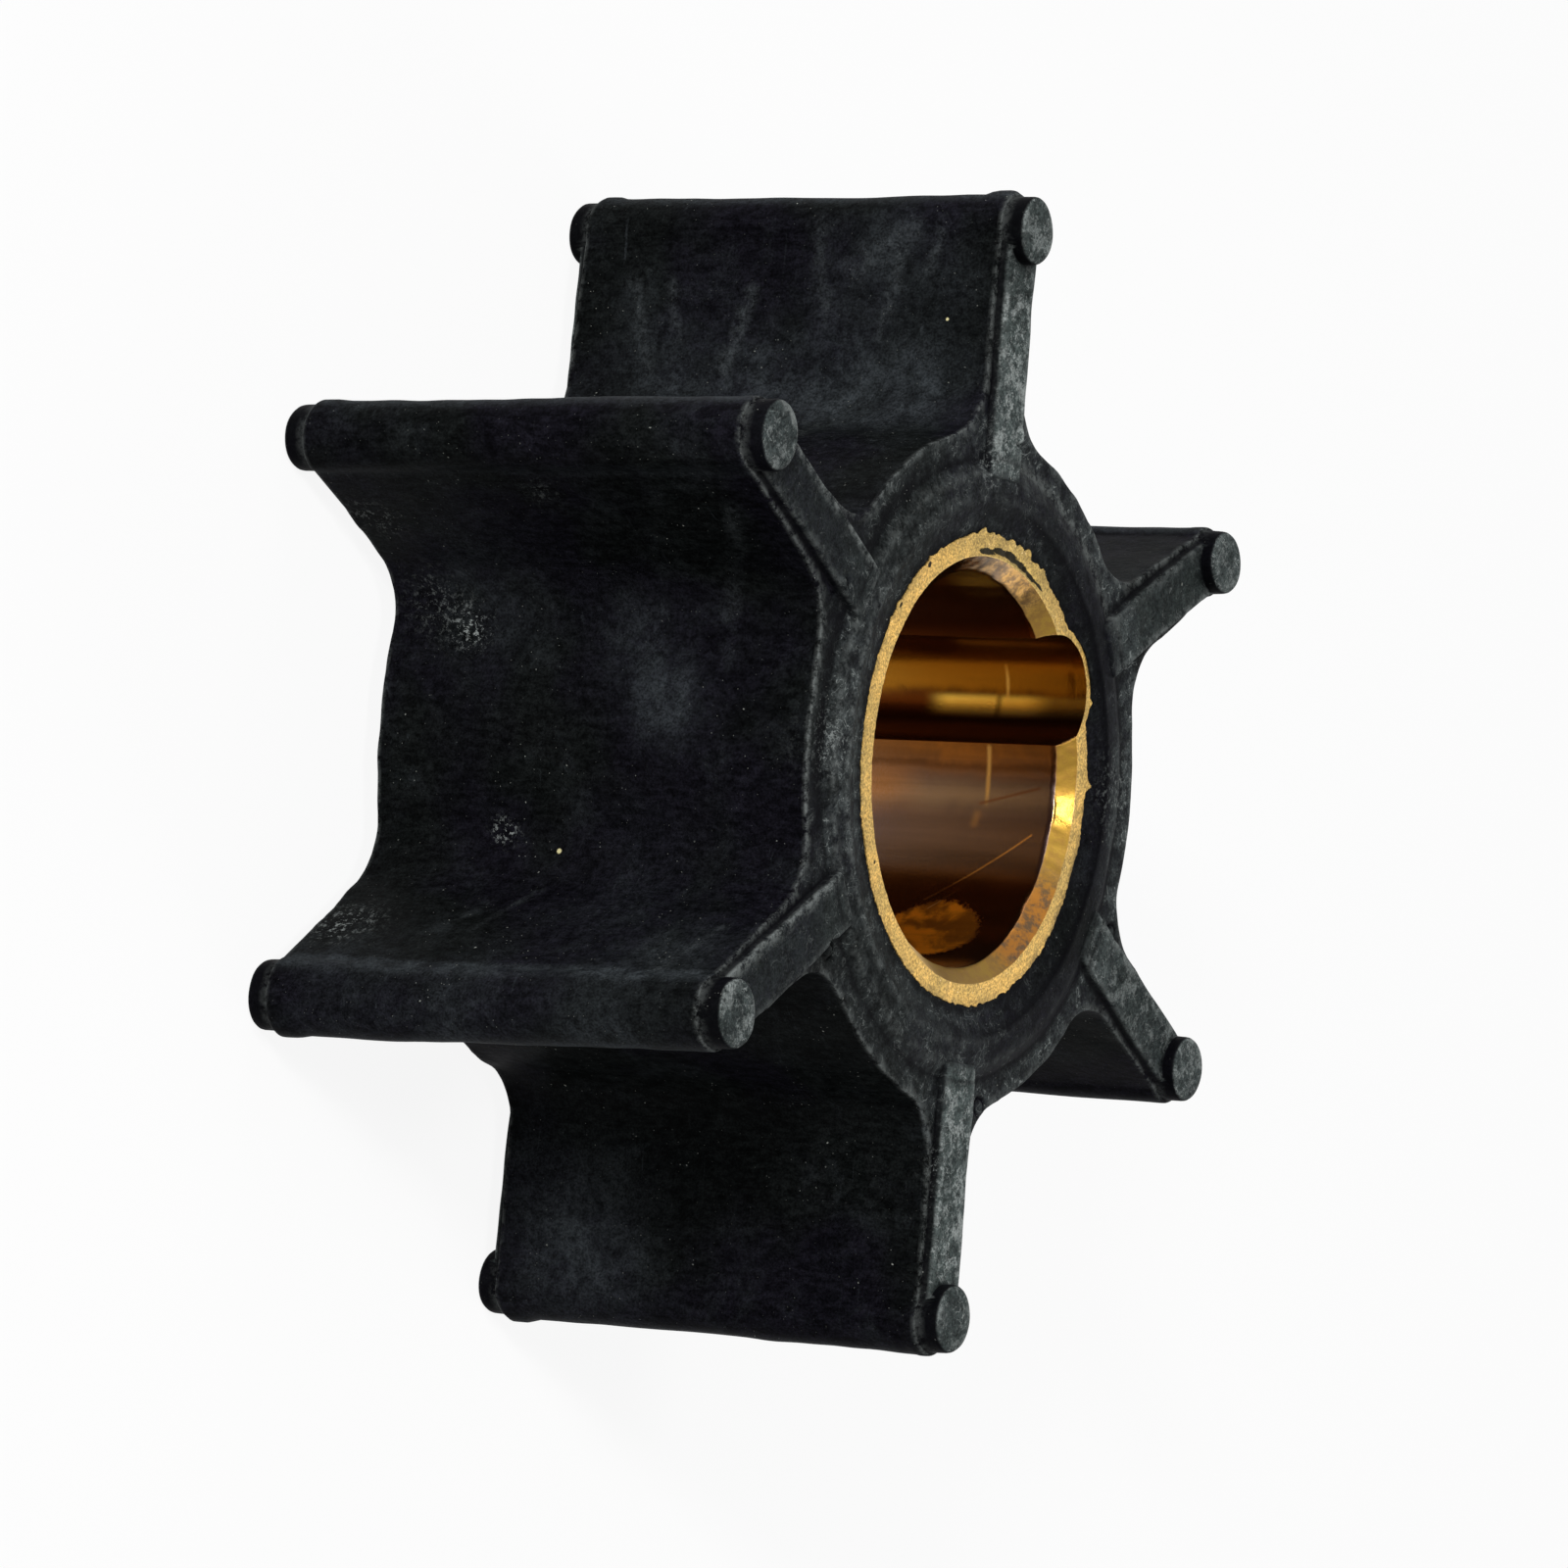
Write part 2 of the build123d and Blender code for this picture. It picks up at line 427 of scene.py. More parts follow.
def vane_axes(points):
    """Nearest vane of each point, with its place along and across that vane."""
    vane = np.round(np.degrees(np.arctan2(points[:, 1], points[:, 0])) / VANE_STEP).astype(int)
    angle = np.radians(vane * VANE_STEP)
    along = points[:, 0] * np.cos(angle) + points[:, 1] * np.sin(angle)
    across = -points[:, 0] * np.sin(angle) + points[:, 1] * np.cos(angle)
    return vane % VANES, angle, along, across


def raised(points, s, pips):
    """Height of the end face above its plane."""
    _, _, along, across = vane_axes(points)
    reach = np.hypot(points[:, 0], points[:, 1])
    collar = np.interp(reach, *np.array(COLLAR_PROFILE).T, right=0.0)
    steps = np.array(RIB_PROFILE)[::-1]
    side = np.interp(s["rib_half"] - np.abs(across), *steps.T, left=0.0, right=1.0)
    tip = tip_radius(s)
    end = np.interp(along - RIB_START, *steps.T, left=0.0, right=1.0) * (along < tip)
    rib = s["rib_height"] * side * end
    from_tip = np.hypot(along - tip, across)
    stub = np.interp(from_tip, *np.array(STUB_PROFILE)[::-1].T, right=0.0)
    height = np.maximum(np.maximum(collar, rib), stub)
    for angle, radius, size, bump, groove in pips:
        middle = polar(radius, angle)
        offset = points - middle
        away = np.hypot(offset[:, 0], offset[:, 1])
        one_side = 0.25 + 0.75 * ramp(offset @ (-middle / radius), -size, size)
        height = height + bump * (1.0 - ramp(away, size * 0.35, size * 0.75))
        height = height - groove * one_side * band(away, size * 0.85, PIP_GROOVE)
    return height


def cap_loops(s, rim, seat, pips):
    """Loops that the end face bends along, and loose dots between them."""
    tip = tip_radius(s)
    lobe = seat.max()
    loops = [rim, seat] + [ring(radius, COLLAR_STEP) for radius, _ in COLLAR_PROFILE[1:] if radius > lobe]
    loose = [ring(radius, INNER_STEP) for radius, _ in COLLAR_PROFILE[1:] if radius <= lobe]
    for k in range(VANES):
        for inset, _ in RIB_PROFILE:
            half, start = s["rib_half"] - inset, RIB_START + inset
            loops.append(turned(rectangle((start, -half), (tip, half), RIB_STEP), VANE_STEP * k))
        for radius, _ in STUB_PROFILE:
            step = STUB_STEP if radius > 1.2 else RIB_STEP
            loops.append(turned(ring(radius, step, (tip, 0.0)), VANE_STEP * k))
    for angle, radius, size, _, _ in pips:
        loose += [ring(size * part, PIP_STEP, polar(radius, angle)) for part in PIP_RINGS]
    loose = np.vstack(loose)
    clear = clear_of(loose, np.vstack((rim, seat)), RIM_GAP)
    loose = loose[inside(loose, rim) & ~inside(loose, seat) & clear]
    reach = s["overall_dia"] / 2
    rows = np.arange(-reach, reach, FILL_STEP)
    dots = np.array([(x + FILL_STEP / 2 * (row % 2), y) for row, y in enumerate(rows) for x in rows])
    dots = dots + np.random.default_rng(11).uniform(-FILL_STRAY, FILL_STRAY, dots.shape)
    dots = dots[inside(dots, rim) & (np.hypot(dots[:, 0], dots[:, 1]) > SLEEVE_SEAT)]
    dots = dots[clear_of(dots, np.vstack(loops + [loose]), FILL_GAP)]
    return loops, np.vstack((loose, dots))


def lobe_reach(angles, centre, radius):
    """Distance from the axis to the far side of a round beside it, or 0 where it is missed."""
    bend = radius ** 2 - (centre * np.sin(angles)) ** 2
    reach = centre * np.cos(angles) + np.sqrt(np.maximum(bend, 0.0))
    return np.where((bend > 0.0) & (np.cos(angles) > 0.0), reach, 0.0)


def sleeve_reach(angles, s):
    """Radius of the outside of the sleeve, with the lobe that carries the keyway."""
    return np.maximum(s["sleeve_dia"] / 2,
                      lobe_reach(angles, s["key_centre"], s["key_dia"] / 2 + s["key_wall"]))


def bore_reach(angles, s):
    """Radius of the bore wall, keyway included."""
    return np.maximum(s["bore_dia"] / 2, lobe_reach(angles, s["key_centre"], s["key_dia"] / 2))


def seat_outline():
    """Outline of the hole that holds the sleeve."""
    angles = np.radians(np.arange(0.0, 360.0, 1.6))
    radius = sleeve_reach(angles, sizes(bpy.context.scene.impeller_sleeve))
    return np.column_stack((radius * np.cos(angles), radius * np.sin(angles)))


def end_cap(s, rim, seat, pips, upper):
    """One end face as a triangulated sheet that follows its raised features."""
    loops, dots = cap_loops(s, rim, seat, pips)
    flat, faces = triangulated(loops, dots)
    middle = np.array([flat[list(face)].mean(axis=0) for face in faces])
    kept = inside(middle, rim) & ~inside(middle, seat)
    base, top = ends(s)
    height = np.where(clear_of(flat, rim, 0.002), raised(flat, s, pips), 0.0)
    level = top + height if upper else base - height
    order = 1 if upper else -1
    return np.column_stack((flat, level)), [face[::order] for face, keep in zip(faces, kept) if keep]


def flash(points, s, from_end, upper):
    """Extra radius of the thin lips that the mould leaves at the ends of the beads."""
    vane, _, along, across = vane_axes(points)
    tip = tip_radius(s)
    bearing = np.degrees(np.arctan2(across, along - tip))
    on_bead = ramp(along, tip - 1.6, tip - 0.9)
    table = FLASH_UPPER if upper else FLASH_LOWER
    amount = np.zeros(len(points))
    for k, (height, aim, spread, reach) in enumerate(table):
        lip = ramp(from_end, 0.0, 0.25 * reach) * (1.0 - ramp(from_end, 0.8 * reach, 1.25 * reach))
        amount += np.where(vane == k, height * band(bearing, aim, spread) * lip, 0.0)
    return amount * on_bead


def shaped(points, s):
    """Moves every point of the moulding from its drawn place to its moulded one."""
    base, top = ends(s)
    vane, angle, along, across = vane_axes(points)
    radius = np.hypot(points[:, 0], points[:, 1])
    unit = np.column_stack((np.cos(angle), np.sin(angle), np.zeros(len(angle))))
    side = np.column_stack((-np.sin(angle), np.cos(angle), np.zeros(len(angle))))
    lean = np.array(VANE_LEAN)[vane]
    up = np.clip((points[:, 2] - base) / (top - base), -0.05, 1.05)
    hold = np.clip((along - LEAN_START) / LEAN_SPAN, 0.0, 1.1) ** 1.7
    bow = VANE_BOW * waves(points, 22.0, 5) * np.sin(math.pi * up)
    shift = lean[:, 0] + (lean[:, 1] - lean[:, 0]) * up + bow
    moved = points + side * (hold * shift)[:, None] - unit * (hold * lean[:, 2])[:, None]
    # moulded unevenness
    free = ramp(radius, SLEEVE_SEAT + 0.1, SLEEVE_SEAT + 1.2)
    for axis in range(3):
        moved[:, axis] += free * s["surface_wander"] * (waves(points, 5.0, 20 + axis)
                                                        + 0.5 * waves(points, 1.7, 30 + axis))
    return moved


def walls(s, outline, outward):
    """The side of the body from the lower to the upper end face, with worn edges."""
    base, top = ends(s)
    near = [depth for depth, _ in END_INSETS] + list(NEAR_ROWS)
    inner = np.linspace(EVEN_ROWS_FROM, s["body_length"] - EVEN_ROWS_FROM, EVEN_ROWS)
    depths = near + list(inner) + [s["body_length"] - depth for depth in near[::-1]]
    _, _, along, _ = vane_axes(outline)
    on_bead = along > tip_radius(s) - 1.7
    rows = []
    for depth in depths:
        level = base + depth
        from_end = min(depth, s["body_length"] - depth)
        upper = depth > s["body_length"] / 2
        inset = np.interp(from_end, *np.array(END_INSETS).T, right=0.0)
        spot = np.column_stack((outline, np.full(len(outline), base if not upper else top)))
        # the edge strays most at the end face and settles within about 1.5 mm
        fade = 1.0 - ramp(np.array([from_end]), 0.0, 1.5)[0]
        rough = 0.8 * waves(spot, 1.6, 41 + upper) + 0.25 * waves(spot, 0.6, 43 + upper)
        stray = s["edge_wander"] * fade * rough
        at = np.column_stack((outline, np.full(len(outline), level)))
        stray = np.where(on_bead, np.abs(stray) * 0.5, stray)
        grow = stray - inset + flash(at, s, np.full(len(at), from_end), upper)
        rows.append(np.column_stack((outline + outward * grow[:, None], np.full(len(outline), level))))
    return rows


def moulding_mesh(s):
    """Points and faces of the moulding before it is shaped."""
    outline, outward = body_outline(s)
    seat = seat_outline()
    rows = walls(s, outline, outward)
    points = np.vstack(rows)
    faces = tube_faces(len(rows), len(outline))
    for row, pips, upper in ((rows[0], PIPS_LOWER, False), (rows[-1], PIPS_UPPER, True)):
        cap, sheet = end_cap(s, row[:, :2], seat, pips, upper)
        faces += [tuple(v + len(points) for v in face) for face in sheet]
        points = np.vstack((points, cap))
    base, top = ends(s)
    lower = base - raised(seat, s, ())
    upper = top + raised(seat, s, ())
    seat_rows = [np.column_stack((seat, lower + (upper - lower) * t)) for t in (0.0, 0.02, 0.5, 0.98, 1.0)]
    faces += [face[::-1] for face in tube_faces(len(seat_rows), len(seat), len(points))]
    points = np.vstack([points] + seat_rows)
    return welded(points, faces)


def spots(points, marks):
    """Sum of soft round spots: centre x, y, z, radius and strength of each."""
    total = np.zeros(len(points))
    for x, y, z, radius, strength in marks:
        away = np.linalg.norm((points - (x, y, z)), axis=1)
        total += strength * np.exp(-(away / radius) ** 2)
    return total


# Soft grey bloom, partly painted light (the spots at x 8.6 to 9.0 paint light on a root fillet that faces
# up, those at x -31.5 a reflection along the underside of a bead), and dry white powder: place in
# millimetres, radius, strength
BLOOM_AND_SHEEN_SPOTS = ((-15.3, 11.8, 19.4, 2.0, 0.9), (-15.6, 10.4, 21.0, 1.8, 0.7), (-13.8, 14.0, 17.5, 2.0, 0.7),
         (-16.0, -23.7, 7.3, 4.2, 1.0), (-15.0, -22.0, 4.5, 3.0, 0.5), (-14.8, 17.5, 8.0, 4.0, 0.5),
         (11.0, 23.4, 6.0, 2.6, 0.35), (11.2, 24.0, 20.8, 3.4, 0.4), (-24.0, 4.0, 20.0, 4.0, 0.35),
         (20.0, -16.0, 9.0, 4.0, 0.5), (15.0, 20.0, 12.0, 4.0, 0.4), (27.0, 2.0, 16.0, 4.0, 0.5),
         (8.6, 19.4, 20.0, 3.0, 1.1), (8.8, 19.6, 25.0, 3.0, 1.2), (9.0, 19.8, 14.0, 3.0, 1.1),
         (9.0, 19.8, 8.0, 2.8, 0.9),
         (13.4, 27.4, 22.5, 2.2, 0.6), (12.0, 25.0, 26.5, 2.0, 0.4), (-31.5, -1.6, 6.0, 3.0, 0.7),
         (-31.5, -1.6, 14.0, 3.4, 1.0), (-31.5, -1.6, 23.0, 3.4, 1.1), (-28.0, 2.0, 25.5, 3.0, 0.6))
POWDER = ((-13.3, 14.1, 6.7, 1.0, 1.0), (-19.0, 4.3, 9.9, 0.55, 1.3), (-13.4, 15.6, 4.2, 1.6, 0.25),
          (-26.5, 1.9, 3.2, 1.6, 0.6), (-14.2, 22.0, 3.0, 1.3, 0.5), (-15.3, 24.0, 15.0, 1.0, 0.3),
          (20.1, -3.0, 8.0, 1.6, 0.5), (4.0, 20.6, 18.0, 2.0, 0.5),
          (9.1, 16.2, 29.8, 1.0, 1.0), (10.2, 18.3, 29.8, 0.9, 1.2), (12.2, 21.0, 29.8, 1.1, 1.1),
          (11.4, 20.2, 29.8, 0.7, 0.8), (-11.6, -21.4, 29.8, 1.2, 0.9), (-12.4, -19.0, 29.8, 0.9, 0.8),
          (7.0, 15.6, 29.8, 1.1, 0.6), (-14.6, 8.4, 29.7, 1.8, 0.5), (15.0, -8.4, 29.6, 2.0, 0.6))


# Rings on an end face, from the axis, where highlights are painted: the ridge, the bend in the outer slope,
# the foot
RIDGE_R, BROW_R, FOOT_R, COLLAR_R = 15.42, 16.75, 17.8, 17.7
# Rings of painted shade: round the sleeve, inside the ridge, at the collar's foot, and the ditch beyond it
SEAT_LINE_R, INNER_LINE_R, FOOT_LINE_R, DITCH_R = 13.45, 15.05, 17.72, 18.12
# Bearings in degrees: the lit side, where the collar is painted paler and the hub ring painted darker, the
# rubbed patch, the painted highlight on the collar's foot, the painted shade in the ditch, and the painted
# highlights along the beads
LIT, RUBBED, FOOT_HIGHLIGHT_AIM, SHADED, BEAD_HIGHLIGHT_AIM = 150.0, -30.0, 30.0, 127.0, 65.0
# For each vane: how much its rib is rubbed, and which edge of it is frosted
RIB_WEAR = (0.30, 1.0, 0.16, 0.18, 1.0, 0.5)
FROST_SIDE = (-1.0, -1.0, -1.0, -1.0, 1.0, 1.0)
STUB_WEAR = 0.55


def places(points, s):
    """Where each point lies along its vane, round the hub and past the end faces."""
    base, top = ends(s)
    vane, _, along, across = vane_axes(points)
    past = np.maximum(points[:, 2] - top, base - points[:, 2])
    return SimpleNamespace(
        points=points, vane=vane, along=along, across=across, past=past,
        on_face=ramp(past, -0.06, 0.0),
        radius=np.hypot(points[:, 0], points[:, 1]),
        bearing=np.degrees(np.arctan2(points[:, 1], points[:, 0])),
        from_tip=np.hypot(along - tip_radius(s), across))


def facing(bearing, aim):
    """1 where a bearing in degrees has the same direction as the aim, -1 where it is opposite."""
    return np.cos(np.radians(bearing - aim))


def hub_dryness_and_light(at, lit):
    """Dry grey of the collar and the hub, with painted light and shade: the collar painted paler towards
    the lit side, the hub ring painted darker there and paler opposite. The strip beside a rib stays dark as
    painted shade.
    """
    rubbed = band(at.bearing, RUBBED, 13.0) * ramp(at.radius, 15.6, 16.1)
    collar = 0.07 + 0.36 * ramp(lit, 0.10, 0.60) + 0.45 * ramp(lit, 0.93, 1.0) + 0.9 * rubbed
    hub = 0.22 + 0.68 * (1.0 - lit) ** 0.7 + 0.5 * rubbed
    beside_rib = ramp(at.along, 19.6, 20.6) * ramp(at.from_tip, 1.84, 1.91)
    return at.on_face * (1.0 - beside_rib) * np.where(at.radius < COLLAR_R, collar, hub)


def rib_wear(at):
    """How much of the rubbed grey each rib and stub has."""
    wear = np.array(RIB_WEAR)[at.vane]
    wear = wear * (1.0 - 0.45 * (at.vane == 1) * ramp(at.along, 25.0, 28.5))
    return np.where(at.from_tip < 1.9, STUB_WEAR, wear)


def frosted_and_highlit_edges(at, s, rib, lit):
    """Frosted rib edges, and painted highlights along the rim and the steps of the collar, most of them on
    the lit side.
    """
    frosted = np.array(FROST_SIDE)[at.vane] * at.across > 0.0
    rib_edge = ramp(np.abs(at.across), s["rib_half"] - 0.45, s["rib_half"] - 0.02)
    rib_edge = rib * rib_edge * (0.35 + 0.65 * frosted)
    outline, _ = body_outline(s)
    # painted highlight along the rim of the end face, stronger on the lit side
    rim = band(at.past, 0.0, 0.12) * band(nearest(at.points[:, :2], outline), 0.0, 0.24)
    rim = 0.62 * rim * (1.0 + 0.6 * ramp(lit, 0.95, 1.0))
    # painted highlights on the ridge and the bend of the collar towards the lit side, and on its foot
    # towards another bearing
    steps = (0.62 * band(at.radius, RIDGE_R, 0.22) * lit ** 2
             + (0.05 + 0.40 * lit) * band(at.radius, BROW_R, 0.22)
             + 0.8 * band(at.radius, FOOT_R, 0.35) * ramp(facing(at.bearing, FOOT_HIGHLIGHT_AIM), 0.80, 0.97))
    return np.maximum.reduce((rib_edge, rim, at.on_face * steps))


def shade_lines(at, s, lit):
    """Painted shade: dark lines round the sleeve and at the foot of the collar, the ribs and the stubs, and
    a dark ditch beyond the collar on the shaded side.
    """
    beside_rib = band(np.abs(at.across), s["rib_half"] + 0.26, 0.12) * ramp(at.along, 16.5, 17.0)
    ditch = band(at.radius, DITCH_R, 0.42, 4) * ramp(facing(at.bearing, SHADED), 0.72, 0.84)
    return at.on_face * np.maximum.reduce((
        band(at.radius, SEAT_LINE_R, 0.22),
        band(at.radius, INNER_LINE_R, 0.30) * ramp(lit, 0.62, 0.30),
        band(at.radius, FOOT_LINE_R, 0.2) * (at.along < 18.2),
        beside_rib * (at.from_tip > 1.9),
        band(at.from_tip, 2.02, 0.12),
        0.92 * ditch * (1.0 - ramp(at.past, 0.25, 0.4))))


def bead_highlights(at, s):
    """Painted highlights along two sides of each bead: the side that faces the light, and more faintly the
    side opposite.
    """
    tip = tip_radius(s)
    middle = np.radians(at.vane * VANE_STEP)
    bearing = np.degrees(np.arctan2(at.points[:, 1] - tip * np.sin(middle),
                                    at.points[:, 0] - tip * np.cos(middle)))
    up = facing(bearing, BEAD_HIGHLIGHT_AIM)
    on_bead = (at.from_tip > 1.8) * (at.from_tip < 2.4) * (at.along > tip - 1.2) * (1.0 - at.on_face)
    return on_bead * (0.95 * ramp(up, 0.70, 0.98) + 0.40 * ramp(-up, 0.75, 0.98))


def moulding_masks(points, s):
    """Where the rubber is worn, bloomed or chalky, and where light and shade are painted on it."""
    at = places(points, s)
    lit = 0.5 + 0.5 * facing(at.bearing, LIT)
    # the side of each stub is painted dark as shade, and kept out of the rubbed grey
    stub_side = ramp(at.from_tip, 1.82, 1.90) * (at.from_tip < 2.0) * (at.past > 0.55)
    rib = at.on_face * ramp(at.past, 0.2, 0.5) * ramp(at.along, RIB_START - 0.4, RIB_START + 0.6)
    rib *= 1.0 - stub_side
    return {
        "face": hub_dryness_and_light(at, lit),
        "rib": rib * rib_wear(at),
        "edge": np.clip(frosted_and_highlit_edges(at, s, rib, lit), 0.0, 1.0),
        "crevice": np.clip(np.maximum(shade_lines(at, s, lit), 0.8 * stub_side), 0.0, 1.0),
        "bloom": np.clip(spots(points, BLOOM_AND_SHEEN_SPOTS) + bead_highlights(at, s), 0.0, 1.2),
        "powder": np.clip(spots(points, POWDER), 0.0, 1.2),
    }


def kept_in_box(points):
    """Draws in any tip that would leave the drawn size of the part."""
    vane, _, along, _ = vane_axes(points)
    low, high = CAD_LOW + BOX_MARGIN, CAD_HIGH - BOX_MARGIN
    hold = ramp(along, 20.0, 28.0)
    for k in range(VANES):
        mine = vane == k
        tip = points[mine]
        over = max((tip - high)[:, :2].max(), (low - tip)[:, :2].max(), 0.0)
        points[mine, :2] -= polar(1.0, VANE_STEP * k) * (hold[mine] * over * 1.05)[:, None]
    return np.clip(points, low, high)


# ---------------------------------------------------------------- brass sleeve

# Knobbly saw burrs on the upper rim: angle, spread in degrees, how far out, how high
BURRS = ((66.0, 2.2, 0.50, 0.10), (61.5, 1.4, 0.34, 0.12), (57.0, 2.0, 0.30, 0.08), (51.0, 1.6, 0.36, 0.10),
         (46.0, 1.6, 0.30, 0.12), (42.0, 1.7, 0.46, 0.12), (37.0, 1.5, 0.26, 0.08), (33.0, 1.6, 0.20, 0.08),
         (-28.5, 1.3, 0.45, 0.10), (-112.2, 0.7, 0.32, 0.05), (94.0, 1.5, 0.16, 0.03),
         (111.0, 1.0, 0.10, 0.02), (72.0, 2.4, 0.20, 0.04), (-8.6, 0.8, 0.10, 0.12))
# Chips and gouges in the upper face: angle, radius, half length in degrees, half width, depth
CHIPS = ((61.0, 12.5, 3.2, 0.22, 0.14), (50.0, 12.62, 4.4, 0.24, 0.20), (41.0, 12.5, 4.2, 0.20, 0.22),
         (36.0, 12.45, 1.6, 0.16, 0.16))
# Rows of points on an end, as shares of the way from the bore to the rim, and down the bevel
FACE_ROWS = (1.0, 0.985, 0.94, 0.8, 0.62, 0.45, 0.3, 0.16, 0.05, 0.0)
BEVEL_ROWS = (0.04, 0.2, 0.4, 0.6, 0.8, 0.96)
RIM_DROOP = 0.05
# Which part of the sleeve a row belongs to
FACE, BEVEL, WALL, OUTSIDE = range(4)
# Spacing in degrees beside the keyway's edge and across the keyway, and rows round the rest
FINE_STEP, KEY_STEP, REST_ROWS = 0.16, 0.42, 330


def sleeve_angles(s):
    """Angles of the rows along the sleeve, closer together beside the keyway."""
    half = math.degrees(math.asin(s["key_dia"] / 2 / s["key_centre"]))
    fine = np.arange(half - 5.0, half + 2.0, FINE_STEP)
    inner = np.arange(0.0, half - 5.0, KEY_STEP)
    outer = np.linspace(half + 2.0, 180.0, REST_ROWS, endpoint=False)
    side = np.concatenate((inner, fine, outer))
    return np.radians(np.concatenate((side, [180.0], -side[1:][::-1])))


def saw_burrs(angles, s):
    """How far the rim stands out all round, and how far out and up its knobs are."""
    circle = np.column_stack((np.cos(angles), np.sin(angles), np.zeros(len(angles)))) * s["sleeve_dia"] / 2
    ragged = s["burr"] * (0.5 * waves(circle, 0.9, 61) + 0.8 * np.abs(waves(circle, 0.28, 62)))
    out, up = np.zeros(len(angles)), np.zeros(len(angles))
    for aim, spread, reach, height in BURRS:
        near = band(turn_from(np.degrees(angles), aim), 0.0, spread)
        out += near * reach
        up = np.maximum(up, near * height)
    return ragged, out * (0.8 + 0.35 * waves(circle, 0.3, 63)), up


def sleeve_end(s, angles, upper):
    """Rows of one end from the rim in to the bore: radius, height and part of each."""
    ragged, knobs, lift = saw_burrs(angles, s)
    wall, mouth = bore_reach(angles, s), s["bore_dia"] / 2 + s["bevel"]
    end, inward = (FACE_TOP, -1.0) if upper else (FACE_BOTTOM, 1.0)
    inner = np.maximum(mouth, wall)
    rim = sleeve_reach(angles, s) + ragged + (knobs if upper else 0.0)
    rows = []
    for share_out in FACE_ROWS:
        level = end + inward * RIM_DROOP * (share_out == 1.0)
        level = level - inward * lift * ramp(np.array([share_out]), 0.75, 1.0)[0] * upper
        rows.append((np.maximum(inner + (rim - inner) * share_out, inner), level, FACE))
    for share_down in BEVEL_ROWS:
        depth = s["bevel"] * share_down
        rows.append((np.maximum(mouth - depth, wall), end + inward * depth, BEVEL))
    return rows


def sleeve_mesh(s):
    """Points and faces of the sleeve, with the part, bore radius and bearing of each point."""
    angles = sleeve_angles(s)
    outside, wall = sleeve_reach(angles, s), bore_reach(angles, s)
    depths = np.concatenate(([0.95], np.arange(1.2, 27.0, 0.5), [SLEEVE_LENGTH - 0.95]))
    rows = [(outside, FACE_BOTTOM + 0.3, OUTSIDE)]
    rows += sleeve_end(s, angles, False)
    rows += [(wall, FACE_BOTTOM + depth, WALL) for depth in depths]
    rows += sleeve_end(s, angles, True)[::-1]
    rows += [(outside, FACE_TOP - 0.3, OUTSIDE), (outside, (FACE_BOTTOM + FACE_TOP) / 2, OUTSIDE)]
    points = np.vstack([np.column_stack((np.cos(angles) * radius, np.sin(angles) * radius,
                                         np.broadcast_to(level, angles.shape)))
                        for radius, level, _ in rows])
    part = np.repeat([part for _, _, part in rows], len(angles))
    faces = [face[::-1] for face in tube_faces(len(rows), len(angles), closed_rows=True)]
    return points, faces, part, np.tile(wall, len(rows)), np.tile(np.degrees(angles), len(rows))


def sleeve_shaped(points, part, degrees):
    """Saw marks, chips and small dents."""
    radius = np.hypot(points[:, 0], points[:, 1])
    moved = points.copy()
    on_end = part <= BEVEL
    upper = points[:, 2] > (FACE_TOP + FACE_BOTTOM) / 2
    wobble = 0.018 * waves(points * (1.0, 1.0, 0.2), 1.6, 71) + 0.012 * waves(points, 0.5, 72)
    moved[:, 2] += np.where(on_end, np.where(upper, 1.0, -1.0) * np.minimum(wobble, 0.02), 0.0)
    for aim, middle, half, width, depth in CHIPS:
        dent = band(turn_from(degrees, aim), 0.0, half, 4) * band(radius, middle, width, 4)
        dent = depth * dent * (0.75 + 0.35 * waves(points, 0.35, 73))
        moved[:, 2] -= np.where(upper & on_end, dent, 0.0)
    ripple = 0.012 * waves(points * (1.0, 1.0, 0.12), 1.1, 74)
    moved[:, :2] *= (1.0 + np.where(part == WALL, ripple, 0.0) / radius)[:, None]
    return moved


def sleeve_masks(points, part, wall, s):
    """Which finish each point of the sleeve has."""
    bevel = (part == BEVEL) & (np.hypot(points[:, 0], points[:, 1]) > wall + 0.02)
    in_bore = (part == WALL) | ((part == BEVEL) & ~bevel)
    return {
        "sawn": (part == FACE) | (part == OUTSIDE),
        "bevel": bevel,
        "keyway": ramp(wall - s["bore_dia"] / 2, 0.0, 0.12) * in_bore,
    }


# ---------------------------------------------------------------- materials

